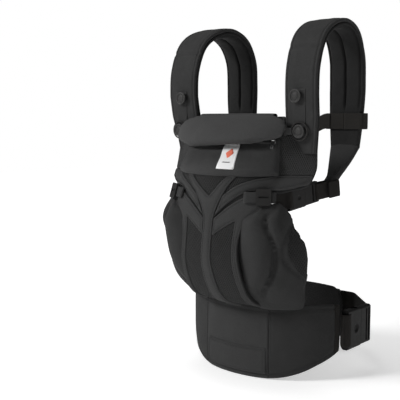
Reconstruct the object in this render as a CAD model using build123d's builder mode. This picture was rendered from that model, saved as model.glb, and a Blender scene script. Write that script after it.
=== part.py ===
from build123d import *
import os
from math import cos, radians, sin

# Soft baby carrier, millimetres. +X is the wearer's left, which is on the right seen from the front.
# +Y is towards the wearer's back and +Z is up. The origin is the centre of the waist loop, level with
# the belt's lower edge in front. Left and right in the names are as seen from the front.
os.makedirs("parts", exist_ok=True)

# ---- driving dimensions ---------------------------------------------------------------------------
LOOP_HALF_WIDTH = 152       # waist loop, outside, along X
LOOP_HALF_DEPTH = 122       # waist loop, outside, along Y
BELT_TOP = 112              # height of the belt in front
BELT_TALLEST = 121          # top of the belt at its sides
BELT_END_Y = -42            # where the padded belt ends and webbing takes over
COVER = 2                   # belt cover and lining thickness
BELT_FOAM = 8
BELT_SEAM_X = 60            # upright seams between belt front and belt wings

WAIST_WEBBING = 50          # webbing widths
SIDE_WEBBING = 25
WEBBING_THICK = 2
WAIST_LEVEL = 76            # middle height of the waist webbing
LUMBAR_Y = 112              # webbing line behind the lumbar pad
LUMBAR_WIDTH = 148
LUMBAR_LOW = 14
LUMBAR_HEIGHT = 97
LUMBAR_CORNER = 26

FABRIC = 2.4                # thickness of each panel layer
PANEL_SIDE_X = 92           # where the panel's round front turns into its flat side
PANEL_EDGE_X = 135          # outer edge of the panel's sides
PANEL_SIDE_RISE = 28        # how far the sides fall back towards the wearer

STRAP_THICK = 13            # padded shoulder strap: cover, foam and lining
STRAP_SKIN = 3
STRAP_START_Z = 373
STRAP_END_Z = 352
STRAP_BACK_Y = 31

# The panel's front face: height, Y on the centre line, Y at x = PANEL_SIDE_X.
PANEL_LEVELS = [
    (BELT_TOP + 0.3, -124, -100),
    (120, -147, -122),
    (135, -166, -150),
    (150, -176, -158),
    (170, -185, -165),
    (190, -190, -168),
    (212, -189, -167),
    (240, -185, -164),
    (262, -183, -160),
    (285, -183, -153),
    (314, -185, -135),
    (322, -181, -132),
    (341, -163, -127),
    (366, -140, -121),
    (402, -106, -100),
]

POCKET_BOTTOM = 316
POCKET_TOP = 368
PANEL_TOP = 401


def save(piece, name):
    """Label a finished piece and write it."""
    piece.part.label = name
    export_step(piece.part, f"parts/{name}.step")


def interpolate(levels, height, column):
    """Value of one column of a table of levels at a height between its rows."""
    for low, high in zip(levels, levels[1:]):
        if low[0] <= height <= high[0]:
            share = (height - low[0]) / (high[0] - low[0])
            return low[column] + share * (high[column] - low[column])
    return levels[-1][column]


def panel_y(x, z):
    """Y of the panel's front face, taking its round front as a parabola."""
    middle = interpolate(PANEL_LEVELS, z, 1)
    side = interpolate(PANEL_LEVELS, z, 2)
    return middle + (side - middle) * (x / PANEL_SIDE_X) ** 2


# ---- waist belt -----------------------------------------------------------------------------------
def belt_layer(inset, thickness, x_min, x_max):
    """One curved layer of the belt, trimmed to the belt's outline seen from the side."""
    with BuildPart() as piece:
        with BuildSketch():
            Ellipse(LOOP_HALF_WIDTH - inset, LOOP_HALF_DEPTH - inset)
            Ellipse(
                LOOP_HALF_WIDTH - inset - thickness,
                LOOP_HALF_DEPTH - inset - thickness,
                mode=Mode.SUBTRACT,
            )
        extrude(amount=BELT_TALLEST)
        with BuildSketch(Plane.YZ.offset(x_min)):
            with BuildLine():
                Spline((-130, -1), (-112, 1), (-92, 11), (-71, 25), (-53, 36), (BELT_END_Y, 44))
                Line((BELT_END_Y, 44), (BELT_END_Y, 116))
                Spline((BELT_END_Y, 116), (-64, 119), (-86, 119), (-104, BELT_TOP), (-130, BELT_TOP))
                Line((-130, BELT_TOP), (-130, -1))
            make_face()
        extrude(amount=x_max - x_min, mode=Mode.INTERSECT)
    return piece


belt_cover_front = belt_layer(0, COVER, -BELT_SEAM_X, BELT_SEAM_X)
save(belt_cover_front, "belt_cover_front")
belt_cover_left = belt_layer(0, COVER, -LOOP_HALF_WIDTH, -BELT_SEAM_X)
save(belt_cover_left, "belt_cover_left")
belt_cover_right = belt_layer(0, COVER, BELT_SEAM_X, LOOP_HALF_WIDTH)
save(belt_cover_right, "belt_cover_right")
belt_foam = belt_layer(COVER, BELT_FOAM, -LOOP_HALF_WIDTH, LOOP_HALF_WIDTH)
save(belt_foam, "belt_foam")
belt_lining = belt_layer(COVER + BELT_FOAM, COVER, -LOOP_HALF_WIDTH, LOOP_HALF_WIDTH)
save(belt_lining, "belt_lining")

# Flat pocket sewn on the belt's front, below a straight hem.
POCKET_HEM_Z = 49
with BuildPart() as belt_pocket:
    with BuildSketch(Plane.XY.offset(8)):
        Ellipse(LOOP_HALF_WIDTH + 1.5, LOOP_HALF_DEPTH + 1.5)
        Ellipse(LOOP_HALF_WIDTH, LOOP_HALF_DEPTH, mode=Mode.SUBTRACT)
    extrude(amount=POCKET_HEM_Z - 8)
    with Locations((0, -LOOP_HALF_DEPTH, 0)):
        Box(2 * BELT_SEAM_X - 8, 60, 4 * POCKET_HEM_Z, mode=Mode.INTERSECT)
save(belt_pocket, "belt_pocket")


# ---- side-release buckles -------------------------------------------------------------------------
class Buckle:
    """Sizes of one buckle, all from the width of its webbing."""

    def __init__(self, webbing, thick, socket_length, plug_length):
        self.webbing = webbing
        self.height = webbing * 1.12 + 6
        self.thick = thick
        self.socket = socket_length
        self.plug = plug_length
        self.wall = 1.8
        self.slot = 3.6
        self.bar = 3.6
        self.depth = socket_length - 2 * self.slot - self.bar
        self.gap = 0.4


def socket_shape(b):
    """Socket, from its webbing bar at x = 0 to its mouth at x = b.socket."""
    with Locations((b.socket / 2, 0, 0)):
        Box(b.socket, b.thick, b.height)
    fillet(edges().filter_by(lambda edge: abs(edge.length - b.socket) < 0.01), b.thick * 0.3)
    with Locations((b.bar + b.slot / 2, 0, 0)):
        Box(b.slot, b.thick + 2, b.webbing + 1.5, mode=Mode.SUBTRACT)
    with Locations((b.socket - b.depth / 2, 0, 0)):
        Box(b.depth, b.thick - 2 * b.wall, b.height - 2 * b.wall, mode=Mode.SUBTRACT)
    window = b.depth * 0.5
    window_at = b.socket - b.depth * 0.55
    with Locations((window_at, 0, b.height / 2), (window_at, 0, -b.height / 2)):
        Box(window, b.thick - 2 * b.wall, 5 * b.wall, mode=Mode.SUBTRACT)
    # Thumb dish on the face.
    with Locations((b.socket * 0.62, -b.thick / 2 - b.height * 0.16, 0)):
        Sphere(b.height * 0.2, mode=Mode.SUBTRACT)


def plug_shape(b):
    """Plug, at rest in a socket whose mouth is at x = b.socket."""
    start = b.socket + b.gap
    with Locations((start + b.plug / 2, 0, 0)):
        Box(b.plug, b.thick, b.height - 2)
    fillet(edges().filter_by(lambda edge: abs(edge.length - b.plug) < 0.01), b.thick * 0.3)
    # Two slots leave the ladder bars that grip the webbing.
    for step in (0, 1):
        with Locations((start + b.plug - b.bar - b.slot / 2 - step * (b.slot + b.bar), 0, 0)):
            Box(b.slot, b.thick + 2, b.webbing + 1.5, mode=Mode.SUBTRACT)
    reach = b.depth - 1.2
    prong_thick = b.thick - 2 * b.wall - 2 * b.gap
    prong_height = b.height * 0.16
    edge = b.height / 2 - b.wall - b.gap - prong_height / 2
    with Locations((start - reach / 2, 0, edge), (start - reach / 2, 0, -edge)):
        Box(reach, prong_thick, prong_height)
    with Locations((start - reach * 0.4, 0, 0)):
        Box(reach * 0.8, prong_thick, b.height * 0.2)


def webbing_loop(b, place, length, stop):
    """Webbing round the bar at the place's x = 0, back to x = -length, sewn flat from x = stop."""
    inside = b.thick / 2 + 0.3
    outside = inside + WEBBING_THICK
    with BuildPart() as piece:
        with BuildSketch(place.offset(-b.webbing / 2)):
            with BuildLine():
                Polyline(
                    (-length, -WEBBING_THICK),
                    (stop, -WEBBING_THICK),
                    (stop + 5, -outside),
                    (b.bar + 0.3 + WEBBING_THICK, -outside),
                    (b.bar + 0.3 + WEBBING_THICK, outside),
                    (stop + 5, outside),
                    (stop, WEBBING_THICK),
                    (-length, WEBBING_THICK),
                    close=True,
                )
            make_face()
            with BuildLine():
                Polyline(
                    (stop + 1.2, 0),
                    (stop + 5.2, -inside),
                    (b.bar + 0.3, -inside),
                    (b.bar + 0.3, inside),
                    (stop + 5.2, inside),
                    close=True,
                )
            make_face(mode=Mode.SUBTRACT)
        extrude(amount=b.webbing)
    return piece


# Waist buckle: at the loop's right side, its length along the loop.
WAIST = Buckle(WAIST_WEBBING, 12, 38, 29)
WAIST_PLACE = Plane(origin=(145.5, -32, WAIST_LEVEL), x_dir=(0, 1, 0), z_dir=(0, 0, 1))

with BuildPart(WAIST_PLACE) as waist_socket:
    socket_shape(WAIST)
save(waist_socket, "waist_socket")

with BuildPart(WAIST_PLACE) as waist_plug:
    plug_shape(WAIST)
save(waist_plug, "waist_plug")

# Short webbing from the right end of the belt to the socket.
waist_webbing_short = webbing_loop(WAIST, WAIST_PLACE, 9.6, -6)
save(waist_webbing_short, "waist_webbing_short")


def webbing_band(points, radii, bottom, width):
    """Upright webbing along a route seen from above: corner points and their radii."""
    with BuildPart() as piece:
        with BuildSketch(Plane.XY.offset(bottom)):
            with BuildLine():
                FilletPolyline(*points, radius=radii)
            trace(line_width=WEBBING_THICK)
        extrude(amount=width)
    return piece


# Long webbing: from the left end of the belt round the back, outside the lumbar pad, to the plug.
WAIST_LOW = WAIST_LEVEL - WAIST_WEBBING / 2
RUN_JOIN_X = 62
PLUG_BAR_Y = -32 + WAIST.socket + WAIST.gap + WAIST.plug
waist_webbing_long = webbing_band(
    [
        (-139, BELT_END_Y + 0.5),
        (-148, -8),
        (-141, 42),
        (-RUN_JOIN_X - 16, LUMBAR_Y),
        (RUN_JOIN_X, LUMBAR_Y),
    ],
    [40, 40, 60],
    WAIST_LOW,
    WAIST_WEBBING,
)
save(waist_webbing_long, "waist_webbing_long")

waist_webbing_run = webbing_band(
    [(145.5, PLUG_BAR_Y + 0.5), (141, 46), (78, LUMBAR_Y), (RUN_JOIN_X + 0.3, LUMBAR_Y)],
    [6, 20],
    WAIST_LOW,
    WAIST_WEBBING,
)
save(waist_webbing_run, "waist_webbing_run")

# Lumbar pad inside the webbing, with two loops that slide on it.
with BuildPart() as lumbar_pad:
    with BuildSketch(Plane.XY.offset(LUMBAR_LOW - 3)):
        with BuildLine():
            outer = ThreePointArc((-82, 88), (0, LUMBAR_Y - 3.2), (82, 88))
            inner = ThreePointArc((-82, 78), (0, LUMBAR_Y - 14), (82, 78))
            Line(outer @ 0, inner @ 0)
            Line(outer @ 1, inner @ 1)
        make_face()
    extrude(amount=LUMBAR_HEIGHT + 6)
    with BuildSketch(Plane.XZ.offset(-140)):
        with Locations((0, LUMBAR_LOW + LUMBAR_HEIGHT / 2)):
            RectangleRounded(LUMBAR_WIDTH, LUMBAR_HEIGHT, LUMBAR_CORNER)
    extrude(amount=140, mode=Mode.INTERSECT)
save(lumbar_pad, "lumbar_pad")

with BuildPart() as lumbar_loops:
    for x in (-38, 38):
        with BuildSketch(Plane.YZ.offset(x - 11)):
            with Locations((LUMBAR_Y, WAIST_LEVEL)):
                Rectangle(WEBBING_THICK + 3.4, WAIST_WEBBING + 3.4)
                Rectangle(WEBBING_THICK + 1, WAIST_WEBBING + 1, mode=Mode.SUBTRACT)
        extrude(amount=22)
save(lumbar_loops, "lumbar_loops")


# ---- seat and back panel --------------------------------------------------------------------------
def panel_layer(outset, thickness):
    """One fabric layer of the panel, from y = outset behind the front face to outset + thickness."""
    with BuildPart() as layer:
        for z, middle, side in PANEL_LEVELS:
            with BuildSketch(Plane.XY.offset(z)):
                with BuildLine():
                    for y in (outset, outset + thickness):
                        ThreePointArc(
                            (-PANEL_SIDE_X, side + y), (0, middle + y), (PANEL_SIDE_X, side + y)
                        )
                        far = side + PANEL_SIDE_RISE + y
                        Line((-PANEL_SIDE_X, side + y), (-PANEL_EDGE_X, far))
                        Line((PANEL_SIDE_X, side + y), (PANEL_EDGE_X, far))
                    for x in (-PANEL_EDGE_X, PANEL_EDGE_X):
                        near = side + PANEL_SIDE_RISE + outset
                        Line((x, near), (x, near + thickness))
                make_face()
        loft(ruled=True)
    return layer


def panel_piece(layer, *outlines, cut_away=None):
    """What a layer has behind the given front-view outlines, and not behind the one cut away."""
    with BuildPart() as piece:
        add(layer.part)
        with BuildSketch(Plane.XZ.offset(-20)):
            for outline in outlines:
                with BuildLine():
                    Polyline(*outline, close=True)
                make_face()
            if cut_away:
                with BuildLine():
                    Polyline(*cut_away, close=True)
                make_face(mode=Mode.SUBTRACT)
        extrude(amount=240, mode=Mode.INTERSECT)
    return piece


def mirrored(points):
    """The same outline on the other side of the centre line."""
    return [(-x, z) for x, z in points]


def both_sides(points):
    """A right half from the centre line round to it again, closed by its mirror image."""
    return points + [(-x, z) for x, z in reversed(points) if x]


front_layer = panel_layer(0, FABRIC)
middle_layer = panel_layer(FABRIC + 0.1, FABRIC)
lining_layer = panel_layer(2 * FABRIC + 0.2, FABRIC)

# Edge of the whole panel, right half, from the belt up.
PANEL_EDGE = [
    (58, BELT_TOP),
    (57, 140),
    (55, 180),
    (54, 225),
    (60, 246),
    (72, 260),
    (84, 272),
    (90, 296),
    (128, 306),
    (PANEL_EDGE_X, 320),
    (134, 345),
    (130, STRAP_START_Z),
    (86, STRAP_START_Z),
    (80, PANEL_TOP),
]
PANEL_OUTLINE = both_sides([(0, BELT_TOP)] + PANEL_EDGE + [(0, PANEL_TOP)])
HOOD = [(84, POCKET_BOTTOM + 4), (82, POCKET_TOP - 6)]
HOOD_OUTLINE = both_sides(HOOD)

panel_lining = panel_piece(lining_layer, PANEL_OUTLINE)
save(panel_lining, "panel_lining")
stowed_hood = panel_piece(middle_layer, HOOD_OUTLINE)
save(stowed_hood, "stowed_hood")
panel_padding = panel_piece(middle_layer, PANEL_OUTLINE, cut_away=HOOD_OUTLINE)
save(panel_padding, "panel_padding")

# The front layer is sewn from several fabrics. Points run up one edge and down the other.
STEM_EDGE = [(15, BELT_TOP), (11, 135), (10, 170), (9, 200), (9, 226)]
ARM_LOW = [(9, 226), (10, 254), (24, 285)]
ARM_OUTER = [(24, 285), (47, POCKET_BOTTOM)]
ARM_INNER = [(34, POCKET_BOTTOM), (14, 297), (0, 284)]
stem = STEM_EDGE + ARM_LOW[1:] + ARM_OUTER[1:] + ARM_INNER
centre_stem = panel_piece(front_layer, both_sides([(0, BELT_TOP)] + stem))
save(centre_stem, "centre_stem")

SWEEP_TOP = [(24, 285), (46, 301), (74, 312), (94, POCKET_BOTTOM)]
SWEEP_LOW = [(130, 308), (90, 297), (60, 291), (32, 274), (10, 254)]
sweep = SWEEP_TOP + [(PANEL_EDGE_X, POCKET_BOTTOM)] + SWEEP_LOW
sweep_trims = panel_piece(front_layer, sweep, mirrored(sweep))
save(sweep_trims, "sweep_trims")

side_mesh_top = [(47, POCKET_BOTTOM)] + SWEEP_TOP[3:] + SWEEP_TOP[2:0:-1] + [(24, 285)]
centre_mesh = both_sides([(0, 284), (14, 297), (34, POCKET_BOTTOM), (0, POCKET_BOTTOM)])
upper_mesh = panel_piece(front_layer, centre_mesh, side_mesh_top, mirrored(side_mesh_top))
save(upper_mesh, "upper_mesh")

LOWER_SEAM = [(9, 226), (30, 240), (46, 250)]
GAP_LINE = [(10, 254), (32, 274), (60, 291), (90, 297)]
ARM_EDGE = [(84, 272), (72, 260), (60, 246), (54, 225), (55, 180), (57, 140), (58, BELT_TOP)]
TRIM_INNER = [(47, BELT_TOP), (47, 140), (45, 180), (44, 225), (46, 250)]
side_trim = GAP_LINE + ARM_EDGE + TRIM_INNER + LOWER_SEAM[1::-1]
side_trims = panel_piece(front_layer, side_trim, mirrored(side_trim))
save(side_trims, "side_trims")

seat_mesh = STEM_EDGE + LOWER_SEAM[1:] + TRIM_INNER[-2::-1]
for side, outline in (("right", seat_mesh), ("left", mirrored(seat_mesh))):
    seat_mesh_half = panel_piece(front_layer, outline)
    save(seat_mesh_half, f"seat_mesh_{side}")

pocket_face = both_sides([(PANEL_SIDE_X, POCKET_BOTTOM), (86, POCKET_TOP)])
hood_pocket = panel_piece(front_layer, pocket_face)
save(hood_pocket, "hood_pocket")

upper_side = both_sides(
    [(0, POCKET_TOP), (86, POCKET_TOP), (PANEL_SIDE_X, POCKET_BOTTOM), (PANEL_EDGE_X, POCKET_BOTTOM)]
    + PANEL_EDGE[9:]
    + [(0, PANEL_TOP)]
)
upper_side_mesh = panel_piece(front_layer, upper_side)
save(upper_side_mesh, "upper_side_mesh")

# Zipper along the top of the hood pocket. Its track is an arc seen from above.
ZIP_Z = 363
ZIP_MIDDLE_Y = interpolate(PANEL_LEVELS, ZIP_Z, 1)
ZIP_SAG = interpolate(PANEL_LEVELS, ZIP_Z, 2) - ZIP_MIDDLE_Y
ZIP_RADIUS = (PANEL_SIDE_X**2 + ZIP_SAG**2) / (2 * ZIP_SAG)
ZIP_CENTRE_Y = ZIP_MIDDLE_Y + ZIP_RADIUS
ZIP_ANGLE = 21.7            # where the slider is parked, from the centre line
TAPE = 0.8

zipper_tape = panel_piece(
    panel_layer(-TAPE, TAPE - 0.1),
    both_sides([(0, ZIP_Z - 3.5), (82, ZIP_Z - 3.5), (82, ZIP_Z + 3.5), (0, ZIP_Z + 3.5)]),
)
save(zipper_tape, "zipper_tape")

zip_out = Vector(sin(radians(ZIP_ANGLE)), -cos(radians(ZIP_ANGLE)), 0)
zip_along = Vector(cos(radians(ZIP_ANGLE)), sin(radians(ZIP_ANGLE)), 0)
SLOPE = 43                  # lean of the pocket's face from upright at the zipper
zip_normal = zip_out * cos(radians(SLOPE)) + Vector(0, 0, sin(radians(SLOPE)))
zip_point = Vector(0, ZIP_CENTRE_Y, ZIP_Z) + zip_out * (ZIP_RADIUS + TAPE)
ZIP_PLACE = Plane(origin=zip_point + zip_normal * 1.5, x_dir=zip_along, z_dir=zip_normal)
BRIDGE_HEIGHT = 4.2

with BuildPart(ZIP_PLACE) as zipper_slider:
    with Locations((0, 0, 1.2)):
        Box(7, 9, 2.4)
    fillet(edges().filter_by(GeomType.LINE).group_by(Axis.Z)[-1], 0.5)
    with Locations((-2.6, -1, BRIDGE_HEIGHT / 2 + 0.4), (2.6, -1, BRIDGE_HEIGHT / 2 + 0.4)):
        Box(1.2, 1.8, BRIDGE_HEIGHT + 0.8)
    with Locations(Location((0, -1, BRIDGE_HEIGHT), (0, 90, 0))):
        Cylinder(0.7, 6)
save(zipper_slider, "zipper_slider")

with BuildPart(ZIP_PLACE) as zipper_pull:
    with Locations(Location((0, -1, BRIDGE_HEIGHT), (0, 90, 0))):
        Cylinder(1.6, 3.4)
        Cylinder(1.0, 6, mode=Mode.SUBTRACT)
    with Locations((0, -9.9, BRIDGE_HEIGHT)):
        Box(4.6, 15, 1.2)
    with Locations((0, -14, BRIDGE_HEIGHT)):
        Box(2.2, 3.4, 3, mode=Mode.SUBTRACT)
save(zipper_pull, "zipper_pull")

# Small sewn label on the pocket, leaning with the fabric.
label_outline = [(13, 321), (40, 321), (29, 358.5), (2, 358.5)]
sewn_label = panel_piece(panel_layer(-0.9, 0.7), label_outline)
save(sewn_label, "sewn_label")

# ---- leg pads and seat-width adjusters ------------------------------------------------------------
# Height, front edge, middle and rear edge of the pad's outer face, and the pad's thickness.
LEG_LEVELS = [
    (120, (63, -131), (92, -111), (109, -84), 12),
    (150, (61, -152), (102, -133), (113, -87), 17),
    (180, (60, -166), (111, -139), (116, -91), 18),
    (215, (60, -170), (116, -143), (118, -102), 18),
    (242, (64, -167), (116, -147), (113, -120), 18),
    (256, (75, -160), (107, -152), (108, -134), 14),
    (265, (84, -154), (94, -150), (100, -142), 7),
]


def leg_pad(inset):
    """Closed pad between an outer and an inner arc at each level, drawn in by inset."""
    with BuildPart() as piece:
        for index, (z, front, middle, rear, thick) in enumerate(LEG_LEVELS):
            lift = {0: inset, len(LEG_LEVELS) - 1: -inset}.get(index, 0)
            start, bulge, end = Vector(*front), Vector(*middle), Vector(*rear)
            along = (end - start).normalized()
            inward = Vector(-along.Y, along.X)
            start, end = start + along * 2 * inset, end - along * 2 * inset
            with BuildSketch(Plane.XY.offset(z + lift)):
                with BuildLine():
                    ThreePointArc(start, bulge + inward * inset, end)
                    ThreePointArc(start, bulge + inward * (thick - inset), end)
                make_face()
        loft(ruled=True)
    return piece


def save_pair(right, name):
    """Write a right-hand piece and its mirror image."""
    save(right, f"{name}_right")
    with BuildPart() as left:
        mirror(right.part, about=Plane.YZ)
    save(left, f"{name}_left")


leg_pad_foam = leg_pad(1.6)
save_pair(leg_pad_foam, "leg_pad_foam")
with BuildPart() as leg_pad_cover:
    add(leg_pad(0).part)
    add(leg_pad_foam.part, mode=Mode.SUBTRACT)
save_pair(leg_pad_cover, "leg_pad_cover")

# The adjuster is a slider on a short webbing track across the panel's arm.
ADJUST_X = 79
ADJUST_Z = 284
slope_x = (panel_y(ADJUST_X + 5, ADJUST_Z) - panel_y(ADJUST_X - 5, ADJUST_Z)) / 10
slope_z = (panel_y(ADJUST_X, ADJUST_Z + 8) - panel_y(ADJUST_X, ADJUST_Z - 8)) / 16
adjust_out = Vector(slope_x, -1, slope_z).normalized()
ADJUST_PLACE = Plane(
    origin=Vector(ADJUST_X, panel_y(ADJUST_X, ADJUST_Z), ADJUST_Z) + adjust_out * 4,
    x_dir=Vector(1, slope_x, 0).normalized(),
    z_dir=adjust_out,
)
with BuildPart(ADJUST_PLACE) as adjuster_tracks:
    with Locations((-2, 0, 0.4)):
        Box(46, 16, 1.6)
    with Locations((-23.5, 0, -1), (20.5, 0, -1)):
        Box(3, 16, 2.6)
    mirror(about=Plane.YZ)
save(adjuster_tracks, "adjuster_tracks")

with BuildPart(ADJUST_PLACE) as seat_slider:
    with Locations((5, 0, 0.6)):
        Box(22, 24, 6)
    fillet(edges().filter_by(lambda edge: abs(edge.length - 6) < 0.01), 3)
    with Locations((5, 0, 0.4)):
        Box(30, 17, 2.4, mode=Mode.SUBTRACT)
    with Locations((5, 0, 3.6)):
        Box(14, 2.4, 3, mode=Mode.SUBTRACT)
save_pair(seat_slider, "seat_slider")

# ---- shoulder straps ------------------------------------------------------------------------------
# Middle line of the strap seen from the side, from its front end over the shoulder to its back end.
STRAP_LINE = [
    (-106, STRAP_START_Z),
    (-109, 425),
    (-106, 475),
    (-86, 516),
    (-52, 535),
    (-25, 538.5),
    (8, 525),
    (27, 494),
    (STRAP_BACK_Y, 455),
    (STRAP_BACK_Y, STRAP_END_Z),
]


def strap_side(offset):
    """The strap's middle line moved outwards by an offset."""
    points = []
    for index, point in enumerate(STRAP_LINE):
        before = Vector(*STRAP_LINE[max(index - 1, 0)])
        after = Vector(*STRAP_LINE[min(index + 1, len(STRAP_LINE) - 1)])
        along = (after - before).normalized()
        if index in (0, len(STRAP_LINE) - 2, len(STRAP_LINE) - 1):
            along = Vector(0, 1 if index == 0 else -1)
        points.append(Vector(*point) + Vector(-along.Y, along.X) * offset)
    return points


def strap_layer(inner, outer):
    """One layer of the right strap between two offsets, wider over the back than in front."""
    with BuildPart() as piece:
        with BuildSketch(Plane.YZ.offset(60)):
            with BuildLine():
                first, second = strap_side(inner), strap_side(outer)
                Spline(*first[:-1], tangents=[(0, 1), (0, -1)])
                Line(first[-2], first[-1])
                Line(first[-1], second[-1])
                Line(second[-1], second[-2])
                Spline(*second[:-1], tangents=[(0, 1), (0, -1)])
                Line(second[0], first[0])
            make_face()
        extrude(amount=100)
        with BuildSketch(Plane.XY.offset(300)):
            with BuildLine():
                Polyline((88, -130), (143, -130), (140, 60), (71, 60), close=True)
            make_face()
        extrude(amount=300, mode=Mode.INTERSECT)
    return piece


half = STRAP_THICK / 2
save_pair(strap_layer(half - STRAP_SKIN, half), "strap_cover")
save_pair(strap_layer(STRAP_SKIN - half, half - STRAP_SKIN), "strap_foam")
save_pair(strap_layer(-half, STRAP_SKIN - half), "strap_lining")

# Side buckles: from behind the adjuster back to the strap's tail.
SIDE = Buckle(SIDE_WEBBING, 9, 35, 30)
side_along = Vector(0.124, 0.982, 0.138).normalized()
side_up = (Vector(0, 0, 1) - side_along * side_along.Z).normalized()
SIDE_PLACE = Plane(origin=(95, -117, 279), x_dir=side_along, z_dir=side_up)
SIDE_END = SIDE.socket + SIDE.gap + SIDE.plug

with BuildPart(SIDE_PLACE) as side_socket:
    socket_shape(SIDE)
save_pair(side_socket, "side_socket")
with BuildPart(SIDE_PLACE) as side_plug:
    plug_shape(SIDE)
save_pair(side_plug, "side_plug")
save_pair(webbing_loop(SIDE, SIDE_PLACE, 27, -5), "side_anchor")

# The tail gathers the wide strap into upright webbing.
TAIL_TIP = SIDE_PLACE.from_local_coords(Vector(SIDE_END + 27, 1, 0))
TAIL_X = 105.5
TAIL_START = Plane((TAIL_X, STRAP_BACK_Y, STRAP_END_Z - 0.3), x_dir=(1, 0, 0), z_dir=(0, 0, -1))
TAIL_MIDDLE = Plane((TAIL_X, 10, 327), x_dir=(1, 0, 0), z_dir=(0, -0.72, -0.7))
TAIL_END = Plane(TAIL_TIP, x_dir=(1, 0, 0), z_dir=(0, -1, 0))
with BuildPart() as strap_tail:
    with BuildSketch(TAIL_START):
        Rectangle(68, 12)
    with BuildSketch(TAIL_MIDDLE):
        Rectangle(46, 12)
    with BuildSketch(TAIL_END):
        Rectangle(7, SIDE_WEBBING)
    loft(ruled=True)
save_pair(strap_tail, "strap_tail")

# Webbing from the tail through the plug, with the free end folded into a loop outside.
wrap = SIDE.thick / 2 + 0.3 + WEBBING_THICK / 2
turn_x = SIDE_END - SIDE.bar - SIDE.slot / 2
with BuildPart() as side_webbing:
    with BuildSketch(SIDE_PLACE.offset(-SIDE_WEBBING / 2)):
        with BuildLine():
            FilletPolyline(
                (SIDE_END + 22.5, 1),
                (SIDE_END + 5, wrap),
                (turn_x, wrap),
                (turn_x, -wrap),
                (SIDE_END + 34, -wrap - 6),
                (SIDE_END + 34, -wrap - 13),
                (SIDE_END + 12, -wrap - 9),
                radius=[6, 1.3, 1.3, 3, 3],
            )
        trace(line_width=WEBBING_THICK)
    extrude(amount=SIDE_WEBBING)
save_pair(side_webbing, "side_webbing")

# ---- chest strap across the back ------------------------------------------------------------------
CHEST = Buckle(SIDE_WEBBING, 8, 26, 22)
CHEST_Y = STRAP_BACK_Y - 8
CHEST_Z = 380
BAND_Z = 393                # the webbing sags from its bands to its buckle
CHEST_LENGTH = CHEST.socket + CHEST.gap + CHEST.plug
chest_start = (-CHEST_LENGTH / 2, CHEST_Y, CHEST_Z)
CHEST_PLACE = Plane(origin=chest_start, x_dir=(1, 0, 0), z_dir=(0, 0, 1))
with BuildPart(CHEST_PLACE) as chest_socket:
    socket_shape(CHEST)
save(chest_socket, "chest_socket")
with BuildPart(CHEST_PLACE) as chest_plug:
    plug_shape(CHEST)
save(chest_plug, "chest_plug")

PLUG_PLACE = Plane(origin=(CHEST_LENGTH / 2, CHEST_Y, CHEST_Z), x_dir=(-1, 0, 0), z_dir=(0, 0, 1))
with BuildPart() as chest_band:
    with BuildSketch(Plane.XY.offset(BAND_Z - SIDE_WEBBING / 2)):
        with Locations((105.5, STRAP_BACK_Y)):
            Rectangle(76, STRAP_THICK + 5.6)
            Rectangle(72, STRAP_THICK + 1.6, mode=Mode.SUBTRACT)
    extrude(amount=SIDE_WEBBING)
    low, high = CHEST_Z - SIDE_WEBBING / 2, BAND_Z - SIDE_WEBBING / 2
    with BuildSketch(Plane.XZ.offset(-CHEST_Y - 1)):
        with BuildLine():
            Polyline(
                (CHEST_LENGTH / 2 + 7, low),
                (69, high),
                (69, high + SIDE_WEBBING),
                (CHEST_LENGTH / 2 + 7, low + SIDE_WEBBING),
                close=True,
            )
        make_face()
    extrude(amount=2)
    add(webbing_loop(CHEST, PLUG_PLACE, 8, -5).part)
save_pair(chest_band, "chest_band")

# ---- buttons and head support ---------------------------------------------------------------------
BUTTONS = [(109.4, -117.9, 429.3), (115, -116.3, 379)]
with BuildPart() as button_strips:
    with BuildSketch(Plane(origin=(112.5, -115.9, 407), x_dir=(1, 0, 0), z_dir=(0, -1, -0.03))):
        RectangleRounded(22, 66, 3)
    extrude(amount=1.2)
    mirror(about=Plane.YZ)
save(button_strips, "button_strips")

with BuildPart() as buttons:
    for x, y, z in BUTTONS:
        with Locations(Location((x, y - 0.1, z), (90, 0, 0))):
            Cylinder(4, 3.2, align=(Align.CENTER, Align.CENTER, Align.MIN))
        with Locations(Location((x, y - 3.3, z), (90, 0, 0))):
            Cylinder(11, 2.8, align=(Align.CENTER, Align.CENTER, Align.MIN))
    mirror(about=Plane.YZ)
save(buttons, "buttons")

# Height, half width, Y of the ends, of the back and of the front on the centre line.
HEAD_LEVELS = [
    (355, 58, -154, -162, -171),
    (364, 96, -139, -156, -177),
    (376, 103, -132, -143, -171),
    (388, 101, -126, -130, -158),
    (397, 92, -121, -122, -141),
    (402, 80, -117, -114.5, -125),
]


def head_pad(inset):
    """Closed lens-shaped pad that curves with the panel behind it."""
    with BuildPart() as piece:
        for index, (z, half_width, ends, back, front) in enumerate(HEAD_LEVELS):
            lift = {0: inset, len(HEAD_LEVELS) - 1: -inset}.get(index, 0)
            reach = half_width - 2 * inset
            with BuildSketch(Plane.XY.offset(z + lift)):
                with BuildLine():
                    ThreePointArc((-reach, ends), (0, front + inset), (reach, ends))
                    ThreePointArc((-reach, ends), (0, back - inset), (reach, ends))
                make_face()
        loft(ruled=True)
    return piece


head_support_foam = head_pad(1.6)
save(head_support_foam, "head_support_foam")
with BuildPart() as head_support_cover:
    add(head_pad(0).part)
    add(head_support_foam.part, mode=Mode.SUBTRACT)
save(head_support_cover, "head_support_cover")

# A tab at each end carries an elastic loop round the lower button.
loop_x, loop_y, loop_z = BUTTONS[1]
with BuildPart() as head_support_loops:
    with Locations(Location((loop_x, loop_y - 1.7, loop_z), (90, 0, 0))):
        Torus(13.4, 1.2)
    with Locations((loop_x - 15.6, loop_y - 5, loop_z)):
        Box(5, 6.4, 9)
    mirror(about=Plane.YZ)
save(head_support_loops, "head_support_loops")
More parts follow.
